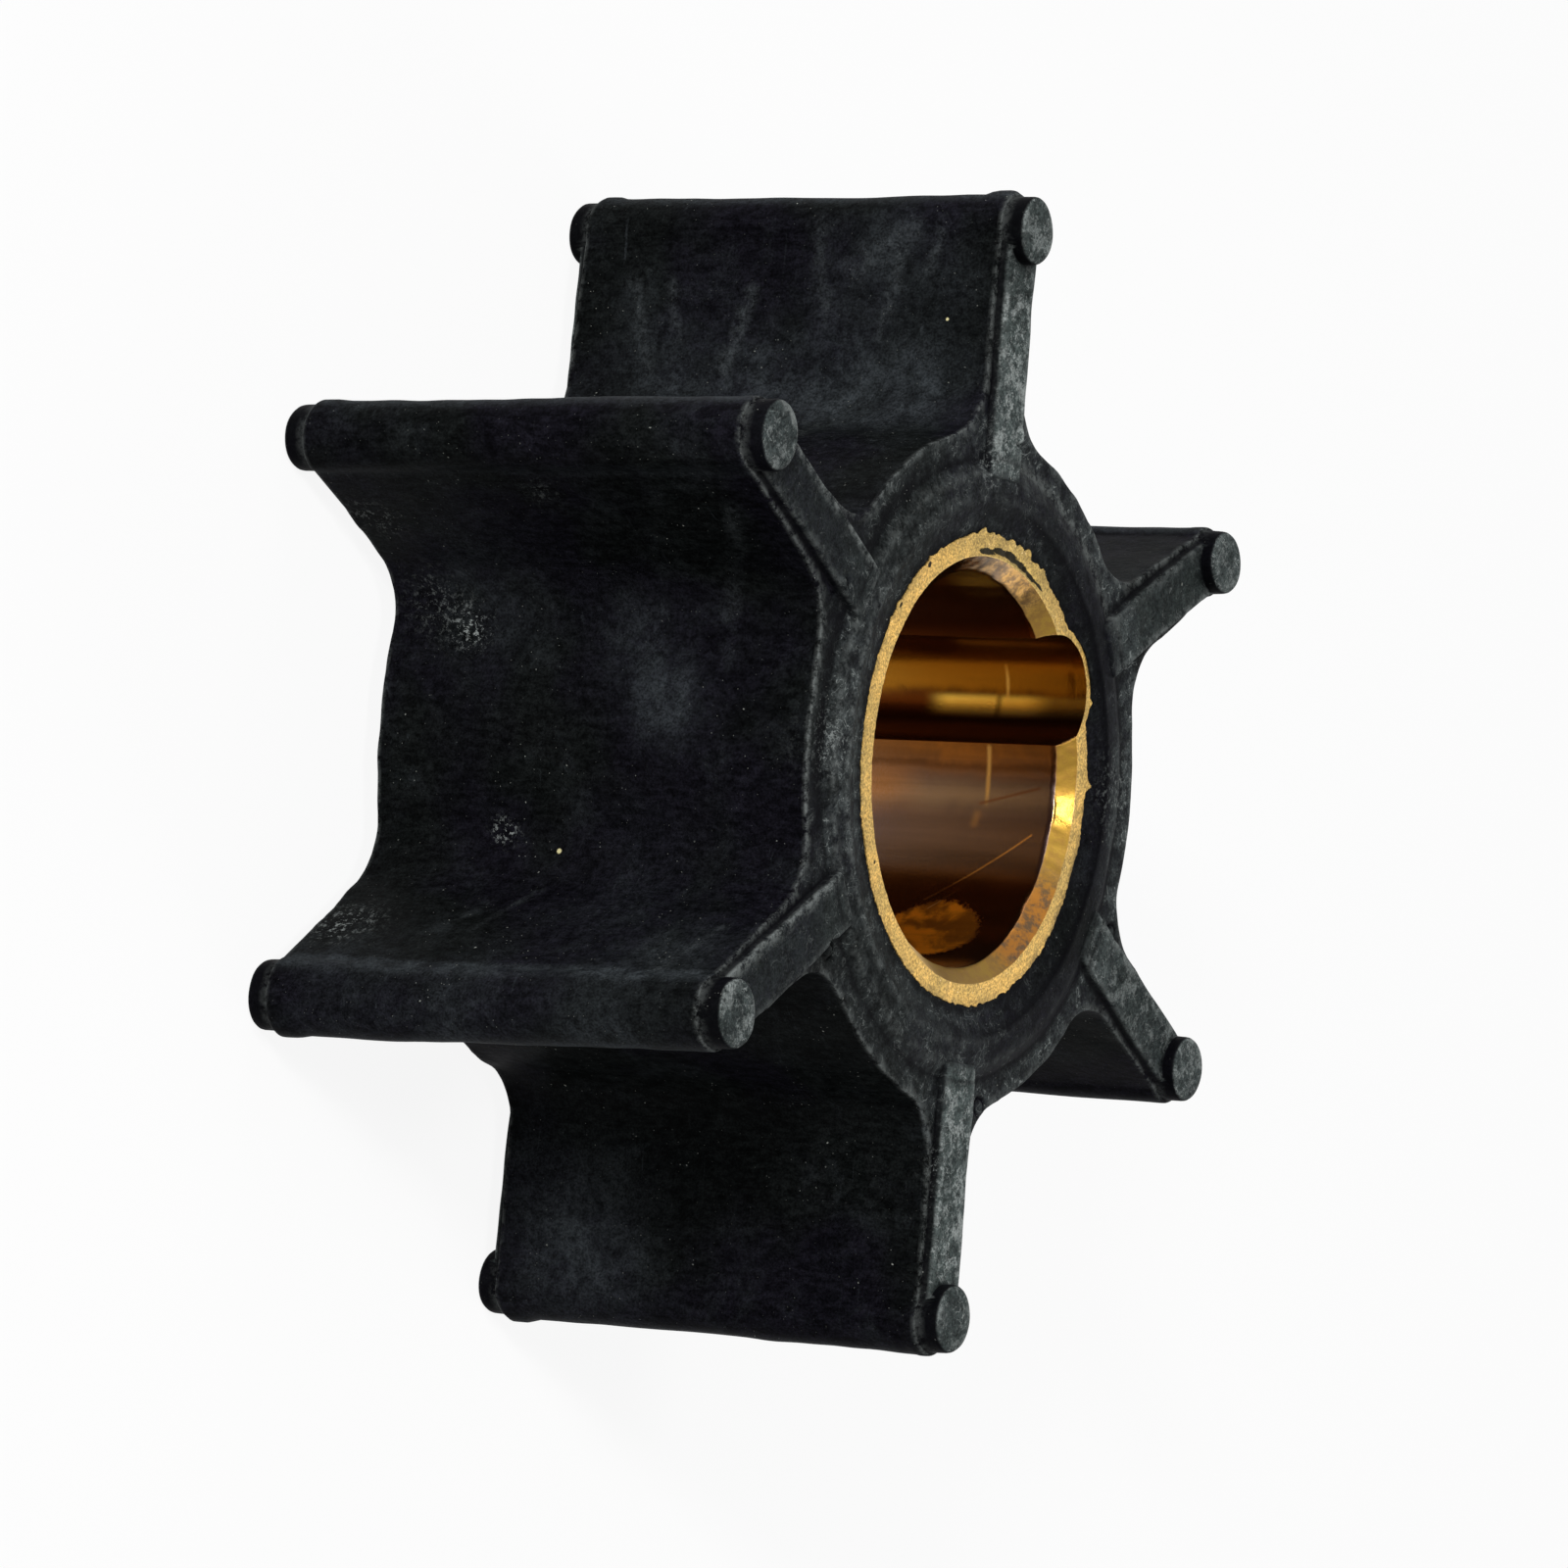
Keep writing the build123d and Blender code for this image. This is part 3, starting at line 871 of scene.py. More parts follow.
class Value:
    """A number socket that adds Math nodes through Python's operators."""

    def __init__(self, shader, socket):
        self.shader = shader
        self.socket = socket

    def _with(self, operation, *others, clamp=False):
        inputs = {0: self}
        inputs.update({k + 1: other for k, other in enumerate(others)})
        node = self.shader.node("ShaderNodeMath", {"operation": operation, "use_clamp": clamp}, inputs)
        return Value(self.shader, node.outputs[0])

    def __add__(self, other):
        return self._with("ADD", other)

    def __sub__(self, other):
        return self._with("SUBTRACT", other)

    def __mul__(self, other):
        return self._with("MULTIPLY", other)

    def __truediv__(self, other):
        return self._with("DIVIDE", other)

    def __pow__(self, other):
        return self._with("POWER", other)

    def __neg__(self):
        return self * -1.0

    def __radd__(self, other):
        return self + other

    def __rsub__(self, other):
        return -self + other

    def __rmul__(self, other):
        return self * other

    def clip(self):
        """Held between 0 and 1."""
        return self._with("ADD", 0.0, clamp=True)

    def abs(self):
        """Without its sign."""
        return self._with("ABSOLUTE")

    def above(self, low, high):
        """0 below low, 1 above high, smooth in between."""
        node = self.shader.node("ShaderNodeMapRange", {"interpolation_type": "SMOOTHSTEP"},
                                {"Value": self, "From Min": low, "From Max": high})
        return Value(self.shader, node.outputs[0])

    def near(self, middle, width):
        """1 at the middle, 0 a width away from it."""
        return 1.0 - (self - middle).abs().above(0.0, width)

    def angle_with(self, other):
        """Angle of the point whose sine side is this and cosine side is the other."""
        return self._with("ARCTAN2", other)

    def larger(self, other):
        """The larger of two numbers."""
        return self._with("MAXIMUM", other)


class Shader:
    """Adds nodes to one material or world."""

    def __init__(self, owner):
        owner.use_nodes = True
        self.tree = owner.node_tree
        self.tree.nodes.clear()

    def node(self, kind, settings, inputs):
        """A node of a type with its settings and then its socket values or links."""
        node = self.tree.nodes.new(kind)
        for key, value in settings.items():
            setattr(node, key, value)
        for key, value in inputs.items():
            target = node.inputs[key]
            if isinstance(value, Value):
                self.tree.links.new(value.socket, target)
            elif isinstance(value, bpy.types.NodeSocket):
                self.tree.links.new(value, target)
            else:
                target.default_value = value
        return node

    def place(self):
        """Position on the piece, in millimetres."""
        return self.scaled(self.node("ShaderNodeTexCoord", {}, {}).outputs["Object"], 1.0 / MM)

    def vector(self, operation, *sides, out="Vector"):
        """Result of a Vector Math node: its vector, or its number where out is Value."""
        node = self.node("ShaderNodeVectorMath", {"operation": operation}, dict(enumerate(sides)))
        return node.outputs[out]

    def scaled(self, vector, factor):
        """A vector times a number."""
        return self.node("ShaderNodeVectorMath", {"operation": "SCALE"},
                         {0: vector, "Scale": factor}).outputs[0]

    def split(self, vector):
        """The three numbers of a vector."""
        node = self.node("ShaderNodeSeparateXYZ", {}, {0: vector})
        return [Value(self, socket) for socket in node.outputs]

    def joined(self, x, y, z):
        """A vector from three numbers."""
        return self.node("ShaderNodeCombineXYZ", {}, {0: x, 1: y, 2: z}).outputs[0]

    def noise(self, vector, scale, detail=3.0, rough=0.55, bend=0.0):
        """Noise between 0 and 1."""
        node = self.node("ShaderNodeTexNoise", {"noise_dimensions": "3D"},
                         {"Vector": vector, "Scale": scale, "Detail": detail, "Roughness": rough,
                          "Distortion": bend})
        return Value(self, node.outputs["Fac"])

    def dots(self, vector, scale, size, chosen):
        """1 on some of many scattered dots: where a dot fades, and which random numbers have one."""
        node = self.node("ShaderNodeTexVoronoi", {"feature": "F1"}, {"Vector": vector, "Scale": scale})
        number = self.node("ShaderNodeSeparateColor", {}, {0: node.outputs["Color"]}).outputs[0]
        spot = 1.0 - Value(self, node.outputs["Distance"]).above(*size)
        return spot * Value(self, number).above(*chosen)

    def shifted(self, vector, scale, amount, detail=2.0):
        """A vector moved about by noise, so that what it places looks scattered."""
        noise = self.node("ShaderNodeTexNoise", {"noise_dimensions": "3D"},
                          {"Vector": vector, "Scale": scale, "Detail": detail})
        return self.vector("MULTIPLY_ADD", noise.outputs["Color"], (amount, amount, amount), vector)

    def mask(self, name):
        """A vertex mask of the mesh."""
        node = self.node("ShaderNodeAttribute", {"attribute_type": "GEOMETRY", "attribute_name": name}, {})
        return Value(self, node.outputs["Fac"])

    def mix(self, factor, first, second):
        """A colour between two colours."""
        node = self.node("ShaderNodeMix", {"data_type": "RGBA", "blend_type": "MIX", "clamp_factor": True},
                         {0: factor, 6: tinted(first), 7: tinted(second)})
        return node.outputs[2]

    def layered(self, base, layers):
        """A colour with others laid over it in order: how much of each, and its colour."""
        for amount, colour_over in layers:
            base = self.mix(amount, base, colour_over)
        return base

    def shade(self, colour_socket, amount):
        """A colour made darker or lighter by a number."""
        grey = self.joined(amount, amount, amount)
        return self.node("ShaderNodeMix", {"data_type": "RGBA", "blend_type": "MULTIPLY"},
                         {0: 1.0, 6: colour_socket, 7: grey}).outputs[2]

    def bump(self, height, distance, strength=1.0, below=None):
        """Surface relief, distance in millimetres."""
        inputs = {"Strength": strength, "Distance": distance * MM, "Height": height}
        if below is not None:
            inputs["Normal"] = below
        return self.node("ShaderNodeBump", {}, inputs).outputs[0]

    def scratch(self, vector, start, end, width):
        """1 on a thin line between two points of a vector's space, 0 a width away from it."""
        start, line = Vector(start), Vector(end) - Vector(start)
        rest = self.vector("SUBTRACT", vector, start)
        far = self.vector("DOT_PRODUCT", rest, line / line.length_squared, out="Value")
        foot = self.scaled(line, Value(self, far).clip())
        off = self.vector("DISTANCE", rest, foot, out="Value")
        return 1.0 - Value(self, off).above(0.0, width)

    def patch(self, u, v, ragged, middle, reach):
        """1 in an ellipse of two numbers, with a ragged edge."""
        out = ((u - middle[0]) / reach[0]) ** 2.0 + ((v - middle[1]) / reach[1]) ** 2.0
        return 1.0 - (out + (ragged - 0.5) * 2.4).above(0.75, 1.0)

    def seen(self):
        """1 where the camera, a reflection or glass looks at the surface, 0 for light on the object."""
        path = self.node("ShaderNodeLightPath", {}, {})
        rays = [Value(self, path.outputs[ray]) for ray in ("Is Camera Ray", "Is Glossy Ray",
                                                           "Is Transmission Ray")]
        return rays[0].larger(rays[1]).larger(rays[2])

    def finish(self, inputs):
        """The surface itself."""
        surface = self.node("ShaderNodeBsdfPrincipled", {}, inputs)
        self.node("ShaderNodeOutputMaterial", {}, {"Surface": surface.outputs[0]})


def tinted(value):
    """A colour with its fourth number, or a link as it is."""
    if isinstance(value, (Value, bpy.types.NodeSocket)):
        return value
    return (*value, 1.0)


# Pale drag marks on the flanks: start, end, half width in millimetres, strength
STREAKS = (
    ((12.1, 25.0, 5.2), (9.4, 20.7, 6.7), 0.50, 0.60),
    ((12.0, 24.9, 7.8), (10.3, 22.2, 8.4), 0.45, 0.60),
    ((11.7, 24.4, 13.2), (9.4, 20.7, 12.0), 0.60, 0.85),
    ((12.9, 26.3, 23.1), (10.3, 22.2, 22.1), 0.50, 0.65),
    ((13.9, 28.3, 25.6), (12.2, 25.3, 24.7), 0.50, 0.60),
    ((13.6, 27.8, 17.4), (10.9, 23.1, 18.4), 0.85, 0.50),
    ((12.5, 25.7, 20.0), (13.5, 27.5, 23.7), 0.90, 0.55),
    ((-29.1, 2.05, 10.4), (-22.1, 2.3, 13.5), 0.36, 0.75),
    ((-29.8, 2.0, 25.4), (-25.1, 2.15, 26.9), 0.45, 0.50),
    ((-27.5, 2.1, 8.6), (-23.5, 2.2, 11.2), 0.40, 0.45),
    ((-12.8, -14.9, 29.3), (-12.4, -17.3, 29.3), 0.20, 1.6),
    ((-12.7, 15.2, 23.5), (-15.3, 22.4, 26.6), 0.70, 0.45))
STREAK_SOFTNESS = 1.45
# Single grains that lie on the rubber: place, radius in millimetres
GRAINS = (((-19.55, 3.5, 13.6), 0.20), ((-14.5, -20.8, 24.4), 0.11), ((-15.7, -23.1, 21.5), 0.12),
          ((-15.9, -23.5, 19.6), 0.10), ((10.9, 23.1, 26.4), 0.12), ((-31.6, 2.0, 6.2), 0.17))
STREAK_GREY = (0.060, 0.068, 0.072)
# near black for the pits, and for the painted shade in the creases
PIT_AND_SHADE_BLACK = (0.0022, 0.0022, 0.0030)
STRAW = (0.62, 0.56, 0.30)


def rubber_skin(k, here, finish, grain):
    """Black skin of the moulding: a cool cast in places, cloudy tone and fine wrinkles."""
    x, y, z = k.split(here)
    cast = k.noise(here, 0.10).above(0.42, 0.60)
    wrinkle = k.noise(k.joined(x, y, z * 0.35), 2.6, 3.0, 0.6, 0.4).above(0.38, 0.62)
    cloud = k.noise(here, 0.42, 5.0, 0.62, 0.6)
    black = k.mix(cast, finish.black, finish.cast)
    return k.shade(black, (0.25 + cloud * 1.5) * (0.30 + wrinkle * 0.75 + grain * 0.7))


def drag_marks(k, here):
    """Faint marks that run from hub to tip, and the plain streaks."""
    x, y, z = k.split(here)
    reach = (x * x + y * y) ** 0.5
    outward = k.joined(y.angle_with(x) * 9.0, reach * 0.14, z * 1.3)
    faint = k.noise(outward, 1.3, 4.0, 0.62, 0.8).above(0.60, 0.76)
    faint = faint * k.noise(here, 0.17, 2.0).above(0.50, 0.64)
    wavy = k.vector("SUBTRACT", k.shifted(here, 0.45, 0.7, 4.0), (0.35, 0.35, 0.35))
    streaks = 0.0
    for start, end, width, strength in STREAKS:
        streaks = k.scratch(wavy, start, end, width * STREAK_SOFTNESS) * strength + streaks
    return faint, streaks * k.noise(here, 1.1, 4.0, 0.72).above(0.34, 0.66)


def rubber_dust(k, here, face):
    """Dust: fine everywhere, coarser and thicker in some areas, and the single grains."""
    crowd = k.noise(here, 0.21, 3.0, 0.6).above(0.46, 0.66)
    coarse = k.dots(k.shifted(here, 0.5, 1.1), 1.7, (0.04, 0.11), (0.76, 0.80)) * crowd
    fine = k.dots(here, 3.6, (0.05, 0.14), (0.74, 0.80)) * (0.14 + 0.5 * crowd + 0.35 * face)
    grains = 0.0
    for middle, radius in GRAINS:
        away = Value(k, k.vector("DISTANCE", here, middle, out="Value"))
        grains = (1.0 - away.above(radius * 0.6, radius)) + grains
    return coarse.larger(fine), grains.clip()


def rubber_material(finish):
    """Black moulded rubber: fine grain, grey haze, chalky wear and dust, with painted highlights and
    painted shade in its colour.
    """
    material = bpy.data.materials.new("black_rubber")
    k = Shader(material)
    here = k.place()
    face, rib, edge, crevice = (k.mask(name) for name in ("face", "rib", "edge", "crevice"))
    grain = k.noise(here, 2.4, 3.0, 0.65)
    fine = k.noise(here, 7.0, 2.0, 0.6)
    # grey bloom in placed patches and thin clouds, with painted highlights along the beads and painted
    # light in some of the patches
    haze = k.mask("bloom") * (0.32 + 0.74 * k.noise(here, 0.60, 5.0, 0.70, 0.35).above(0.36, 0.64))
    thin = k.noise(here, 0.26, 5.0, 0.72, 0.4).above(0.50, 0.72) * 0.20
    faint, streaks = drag_marks(k, here)
    # end faces have a dried grey, which also carries the painted light and shade of the collar and hub;
    # ribs and stubs are rubbed
    dry = face * (0.18 + 0.95 * k.noise(here, 0.9, 5.0, 0.74).above(0.38, 0.64))
    rubbed = rib * (0.45 + 0.55 * k.noise(here, 1.5, 4.0, 0.74).above(0.36, 0.62))
    worn = (rib * 1.8 - 0.5).clip() * k.noise(here, 0.80, 5.0, 0.84).above(0.50, 0.59)
    base = k.layered(rubber_skin(k, here, finish, grain), (
        ((haze * 0.65 + thin).clip(), finish.bloom),
        (faint * 0.45, finish.bloom),
        ((streaks * 0.6).clip(), STREAK_GREY),
        ((dry * 0.85).clip(), finish.dry),
        (rubbed * 0.85, finish.rib),
        (worn * 0.62, finish.chalk)))
    base = k.shade(base, 0.45 + fine.above(0.36, 0.64) * 0.70 + grain.above(0.36, 0.64) * 0.40)
    # pits and hairlines of the end faces, painted shade in the creases, frost and painted highlights along
    # the edges, powder and dust
    on_end = (face + rib).clip()
    pits = k.dots(k.shifted(here, 0.9, 0.8), 1.5, (0.07, 0.20), (0.66, 0.70))
    hair = k.noise(here, 1.0, 3.0, 0.5, 0.8).near(0.5, 0.014) * k.noise(here, 0.9).above(0.46, 0.58)
    frost_and_highlight = edge * k.noise(here, 1.1, 5.0, 0.84).above(0.41, 0.61)
    powder = k.mask("powder") * k.noise(here, 3.0, 3.0, 0.82).above(0.53, 0.64)
    dust, grains = rubber_dust(k, here, face)
    base = k.layered(base, (
        (pits * on_end * 0.8, PIT_AND_SHADE_BLACK),
        (hair * on_end * 0.75, finish.chalk),
        (crevice * 0.9, PIT_AND_SHADE_BLACK),
        (frost_and_highlight * 0.42, finish.chalk),
        ((powder * 0.9).clip(), finish.chalk),
        (dust * 0.72, finish.grit),
        (grains, STRAW)))
    rough = finish.roughness + haze * 0.12 + dry * 0.16 + frost_and_highlight * 0.25 + (grain - 0.5) * 0.18
    relief = k.bump(fine, 0.010, 0.5)
    relief = k.bump(grain, 0.034, 0.6, relief)
    relief = k.bump(k.noise(here, 0.8, 4.0, 0.6), 0.10, 0.5, relief)
    k.finish({"Base Color": base, "Roughness": rough.clip(), "Normal": relief, "Specular IOR Level": 0.010})
    return material


PALE_LINE = (0.74, 0.45, 0.20)
DARK_LINE = (0.20, 0.07, 0.03)
# Scratches in the bore: start and end as arc length from the keyway and height, half width,
# strength and colour
BORE_SCRATCHES = (
    ((-13.5, 21.7), (-12.2, 23.15), 0.09, 0.45, PALE_LINE),
    ((-12.2, 23.15), (-8.8, 27.3), 0.11, 0.75, PALE_LINE),
    ((-14.2, 22.2), (-12.6, 23.6), 0.07, 0.30, PALE_LINE),
    ((-7.7, 23.5), (-8.2, 23.4), 0.45, 0.22, PALE_LINE),
    ((-7.0, 23.6), (-6.0, 27.4), 0.14, 0.70, DARK_LINE))
# Gouges in the upper sawn face: angle, radius, half length in degrees, half width
GOUGES = ((63.0, 12.42, 5.0, 0.22), (56.0, 12.58, 4.0, 0.24), (50.0, 12.62, 4.5, 0.30),
          (44.0, 12.55, 4.5, 0.22), (38.0, 12.50, 3.6, 0.16), (33.0, 12.50, 2.6, 0.12),
          (94.0, 13.1, 1.0, 0.16), (111.0, 13.15, 0.8, 0.12), (179.0, 12.6, 0.5, 0.12))


def sawn_face(k, at, finish):
    """Cut end face: drag marks, dull patches, pale grains, a dark outer rim and pits."""
    dull = k.noise(at.here, 0.33, 3.0, 0.6).above(0.42, 0.66)
    dull = dull.larger(k.noise(at.here, 1.1, 5.0, 0.7).above(0.48, 0.60) * 0.9)
    cut = k.layered(finish.sawn, (
        (dull * 0.6, finish.dull),
        (at.turn.near(45.0, 50.0) * 0.75, finish.dull)))
    cut = k.shade(cut, 0.40 + at.marks * 0.35 + at.grain.above(0.34, 0.66) * 0.85)
    rim = at.reach.above(12.75, 13.25) * k.noise(at.here, 0.9, 5.0, 0.7).above(0.38, 0.60)
    return k.layered(cut, (
        (k.dots(at.here, 3.2, (0.06, 0.22), (0.70, 0.74)) * 0.7, (0.95, 0.74, 0.40)),
        (rim * (0.35 + 0.5 * at.turn.near(-60.0, 42.0)), (0.14, 0.095, 0.035)),
        (at.pits * 0.62, (0.17, 0.105, 0.035))))


def bore_wall(k, at, finish):
    """Brown tarnish, with long bands by bearing painted on as reflections: dark above and below, mauve
    across. The far side is cleaner.
    """
    z, about = at.z, at.about
    blotch = k.mix(at.cloud.above(0.40, 0.60), (0.25, 0.085, 0.005), (0.82, 0.29, 0.012))
    far_side = at.turn.abs().above(96.0, 118.0).larger(at.turn.above(62.0, 80.0))
    # over the brown tarnish and its clouds, the bands by bearing are painted reflections of light and dark
    # surroundings; the stain and the cleaner far side are the brass's own colour
    wall = k.layered(finish.brown, (
        (at.cloud.above(0.35, 0.68), (0.30, 0.135, 0.045)),
        (about.near(-42.0, 25.0).above(0.0, 0.55) * 0.94, finish.mauve),
        (about.near(-33.5, 6.5) * 0.60, (0.36, 0.285, 0.265)),
        (about.near(-31.0, 11.0) * (1.0 - z.above(16.5, 20.5)) * 0.7, (0.40, 0.19, 0.065)),
        (about.near(-24.5, 2.0) * 0.5, finish.dark),
        (about.above(16.0, 24.0) * 0.85, finish.dark),
        (about.above(44.0, 54.0) * 0.55, (0.20, 0.13, 0.03)),
        ((1.0 - about.above(-67.0, -55.0)) * 0.85, (0.105, 0.050, 0.022)),
        (at.disc * 0.9, blotch),
        (far_side * 0.9, finish.clean)))
    return k.shade(wall, 0.98 + (at.streaks - 0.5) * (0.72 - far_side * 0.50))


def keyway_wall(k, at, finish):
    """Groove: an orange floor with a painted reflection as a bright strip along it, and painted shade
    darkening it beside the strip and towards its corners.
    """
    z, turn, about = at.z, at.turn, at.about
    # painted reflection: the bright strip along the floor of the groove
    strip = turn.near(-9.2, 3.6).above(0.0, 0.75) * (1.0 - z.near(23.6, 0.35) * 0.6)
    # painted shade: darker beside the strip, below it and towards the corners
    slot = k.layered(finish.dark, (
        (about.near(-1.0, 8.0).above(0.0, 0.6), (0.30, 0.135, 0.014)),
        (about.near(8.0, 5.0) * 0.7, (0.16, 0.060, 0.012)),
        (strip * z.above(18.4, 20.4) * (1.0 - z.above(25.0, 27.4) * 0.8), (1.0, 0.80, 0.24)),
        (turn.near(-9.0, 4.5) * (1.0 - z.above(18.6, 19.8)) * 0.6, (0.17, 0.05, 0.012)),
        ((1.0 - turn.above(-14.2, -12.2)) * 0.95, (0.150, 0.070, 0.032))))
    return k.shade(slot, 0.70 + at.streaks * 0.56)


def bore_lines(k, at, bore_radius):
    """A line turned round the wall and its run across the groove, and the scratches."""
    flat = k.joined(at.turn * math.radians(bore_radius), at.z, 0.0)
    turned_line = at.z.near(24.0, 0.24) * at.turn.above(-38.0, -31.0) * (1.0 - at.turn.above(-19.0, -17.5))
    lines = [(turned_line * 0.85, (0.72, 0.50, 0.24)),
             (at.z.near(24.15, 0.2) * at.turn.near(-4.0, 7.0) * 0.7, (0.85, 0.58, 0.20))]
    for start, end, width, strength, tone in BORE_SCRATCHES:
        lines.append((k.scratch(flat, (*start, 0.0), (*end, 0.0), width) * strength, tone))
    return lines


def bevel_face(k, at, finish):
    """Bevel: yellow at the right, brown and pitted above, orange and grey below."""
    low = k.noise(at.here, 1.3, 4.0, 0.74).above(0.40, 0.62)
    above = k.mix(low, (0.21, 0.115, 0.036), (0.060, 0.034, 0.016))
    below = k.mix(low, (0.33, 0.13, 0.025), (0.090, 0.060, 0.040))
    return k.layered(finish.rim, (
        (low * 0.5, (0.22, 0.11, 0.035)),
        # painted shade: the bevel darker where the lamps' highlight falls, so that the highlight stays
        # small
        (at.turn.near(-30.0, 24.0).above(0.0, 0.6) * 0.55, (0.13, 0.068, 0.009)),
        (at.turn.near(58.0, 46.0).above(0.0, 0.5) * 0.85, above),
        (at.turn.near(-76.0, 30.0).above(0.0, 0.7) * 0.85, below),
        (at.pits * at.turn.above(20.0, 40.0) * 0.8, (0.035, 0.025, 0.015))))


def brass_places(k):
    """Turn in degrees from the keyway, reach and height, and the noises that the brass shares."""
    here = k.place()
    x, y, z = k.split(here)
    reach = (x * x + y * y) ** 0.5
    turn = y.angle_with(x) * math.degrees(1.0)
    cloud = k.noise(here, 0.36, 5.0, 0.62, 0.6)
    ragged = k.noise(here, 2.6, 4.0, 0.80)
    return SimpleNamespace(
        here=here, z=z, reach=reach, turn=turn, cloud=cloud, ragged=ragged,
        about=turn + (cloud - 0.5) * 5.0,
        grain=k.noise(here, 6.5, 3.0, 0.72),
        marks=k.noise(k.joined(turn * 0.026, reach * 9.0, z), 1.6, 3.0, 0.7),
        pits=k.noise(here, 3.4, 4.0, 0.78).above(0.57, 0.68),
        streaks=k.noise(k.joined(turn * 0.32, z * 0.05, 0.0), 1.0, 5.0, 0.66, 0.3),
        disc=k.patch(turn, z, 0.5 + (ragged - 0.5) * 0.35, (-84.0, 23.2), (16.0, 3.4)))


def brass_material(finish, bore_radius):
    """Sawn brass faces round a drawn, stained bore."""
    material = bpy.data.materials.new("keyed_brass")
    k = Shader(material)
    at = brass_places(k)
    turn = at.turn
    sawn, bevel, keyway = (k.mask(name) for name in ("sawn", "bevel", "keyway"))
    wall = k.mix(keyway, bore_wall(k, at, finish), keyway_wall(k, at, finish))
    wall = k.layered(wall, bore_lines(k, at, bore_radius))
    gouge = 0.0
    for angle, radius, half, width in GOUGES:
        gouge = k.patch(turn, at.reach, at.ragged, (angle, radius), (half, width)) + gouge
    gouge = (gouge * at.z.above(FACE_TOP - 1.0, FACE_TOP - 0.8)).clip()
    away = turn.abs().above(128.0, 150.0)
    base = k.layered(wall, (
        (sawn, sawn_face(k, at, finish)),
        (bevel * (1.0 - away), bevel_face(k, at, finish)),
        (gouge * 0.96, (0.016, 0.016, 0.013))))
    # the bevel is polished but for two calmer stretches
    calm = (turn.above(-35.0, -28.5) * (1.0 - turn.above(2.0, 20.0))).larger(1.0 - turn.above(-45.0, -37.0))
    rough = 0.22 + sawn * 0.34 + bevel * (calm * 0.36 - 0.10) + (at.grain - 0.5) * 0.12
    rough = rough + gouge * 0.3 + at.disc * 0.25
    relief = k.bump(at.marks * sawn, 0.030, 0.5)
    relief = k.bump(at.grain, 0.020, 0.45, relief)
    k.finish({"Base Color": base, "Roughness": rough.clip(), "Metallic": 1.0, "Normal": relief})
    return material


def floor_material(shade_rgb):
    """Pale floor that the camera and reflections see as white, with the shadow kept."""
    material = bpy.data.materials.new("pale_floor")
    k = Shader(material)
    matt = k.node("ShaderNodeBsdfDiffuse", {}, {"Color": (*shade_rgb, 1.0)})
    glow = k.node("ShaderNodeEmission", {}, {"Color": (1.0, 1.0, 1.0, 1.0), "Strength": 1.0})
    mixed = k.node("ShaderNodeMixShader", {}, {0: k.seen() * 0.9, 1: matt.outputs[0], 2: glow.outputs[0]})
    k.node("ShaderNodeOutputMaterial", {}, {"Surface": mixed.outputs[0]})
    return material


def studio_world(strength):
    """Even light from all round, white to the camera and in reflections."""
    world = bpy.data.worlds.new("studio")
    k = Shader(world)
    white = (1.0, 1.0, 1.0, 1.0)
    dim = k.node("ShaderNodeBackground", {}, {"Color": white, "Strength": strength})
    bright = k.node("ShaderNodeBackground", {}, {"Color": white, "Strength": 1.0})
    both = k.node("ShaderNodeMixShader", {}, {0: k.seen(), 1: dim.outputs[0], 2: bright.outputs[0]})
    k.node("ShaderNodeOutputWorld", {}, {"Surface": both.outputs[0]})
    return world


# ---------------------------------------------------------------- operators

class IMPELLER_OT_rubber_moulding(Operator):
    """Build the rubber body: hub, six vanes with tip beads, collars, ribs and stubs"""
    bl_idname = "impeller.rubber_moulding"
    bl_label = "Rubber moulding"

    def execute(self, context):
        s = sizes(context.scene.impeller_moulding)
        points, faces = moulding_mesh(s)
        masks = moulding_masks(points, s)
        points = kept_in_box(shaped(points, s))
        material = rubber_material(context.scene.impeller_rubber)
        piece = make_object("rubber_impeller_body", points, faces, masks, material)
        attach(piece, "root")
        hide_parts("rubber_moulding")
        return {"FINISHED"}


class IMPELLER_OT_brass_sleeve(Operator):
    """Build the brass sleeve: keyed bore, bevelled mouths and sawn ends with burrs"""
    bl_idname = "impeller.brass_sleeve"
    bl_label = "Brass sleeve"

    def execute(self, context):
        s = sizes(context.scene.impeller_sleeve)
        points, faces, part, wall, degrees = sleeve_mesh(s)
        masks = sleeve_masks(points, part, wall, s)
        points = sleeve_shaped(points, part, degrees)
        material = brass_material(context.scene.impeller_brass, s["bore_dia"] / 2)
        piece = make_object("brass_sleeve_finished", points, faces, masks, material)
        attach(piece, "root")
        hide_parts("brass_sleeve")
        return {"FINISHED"}


# Camera: turns in radians about its own axes, and its place from them in metres
VIEW_TILT = 1.04318
VIEW_ROLL = -0.04171
VIEW_TURN = 0.45448
VIEW_OFFSET = (-0.001133, 0.001281, -0.381192)
# Soft boxes: name, place and side in metres, power in watts
LAMPS = (("soft_box_front", (-0.34, 0.42, 0.27), 0.07, 1.8),
         ("soft_box_end", (-0.22, 0.27, 0.61), 0.12, 1.5),
         ("soft_box_top", (0.24, 0.54, 0.09), 0.30, 1.3),
         ("soft_box_back", (0.30, -0.60, 0.40), 0.50, 1.9))


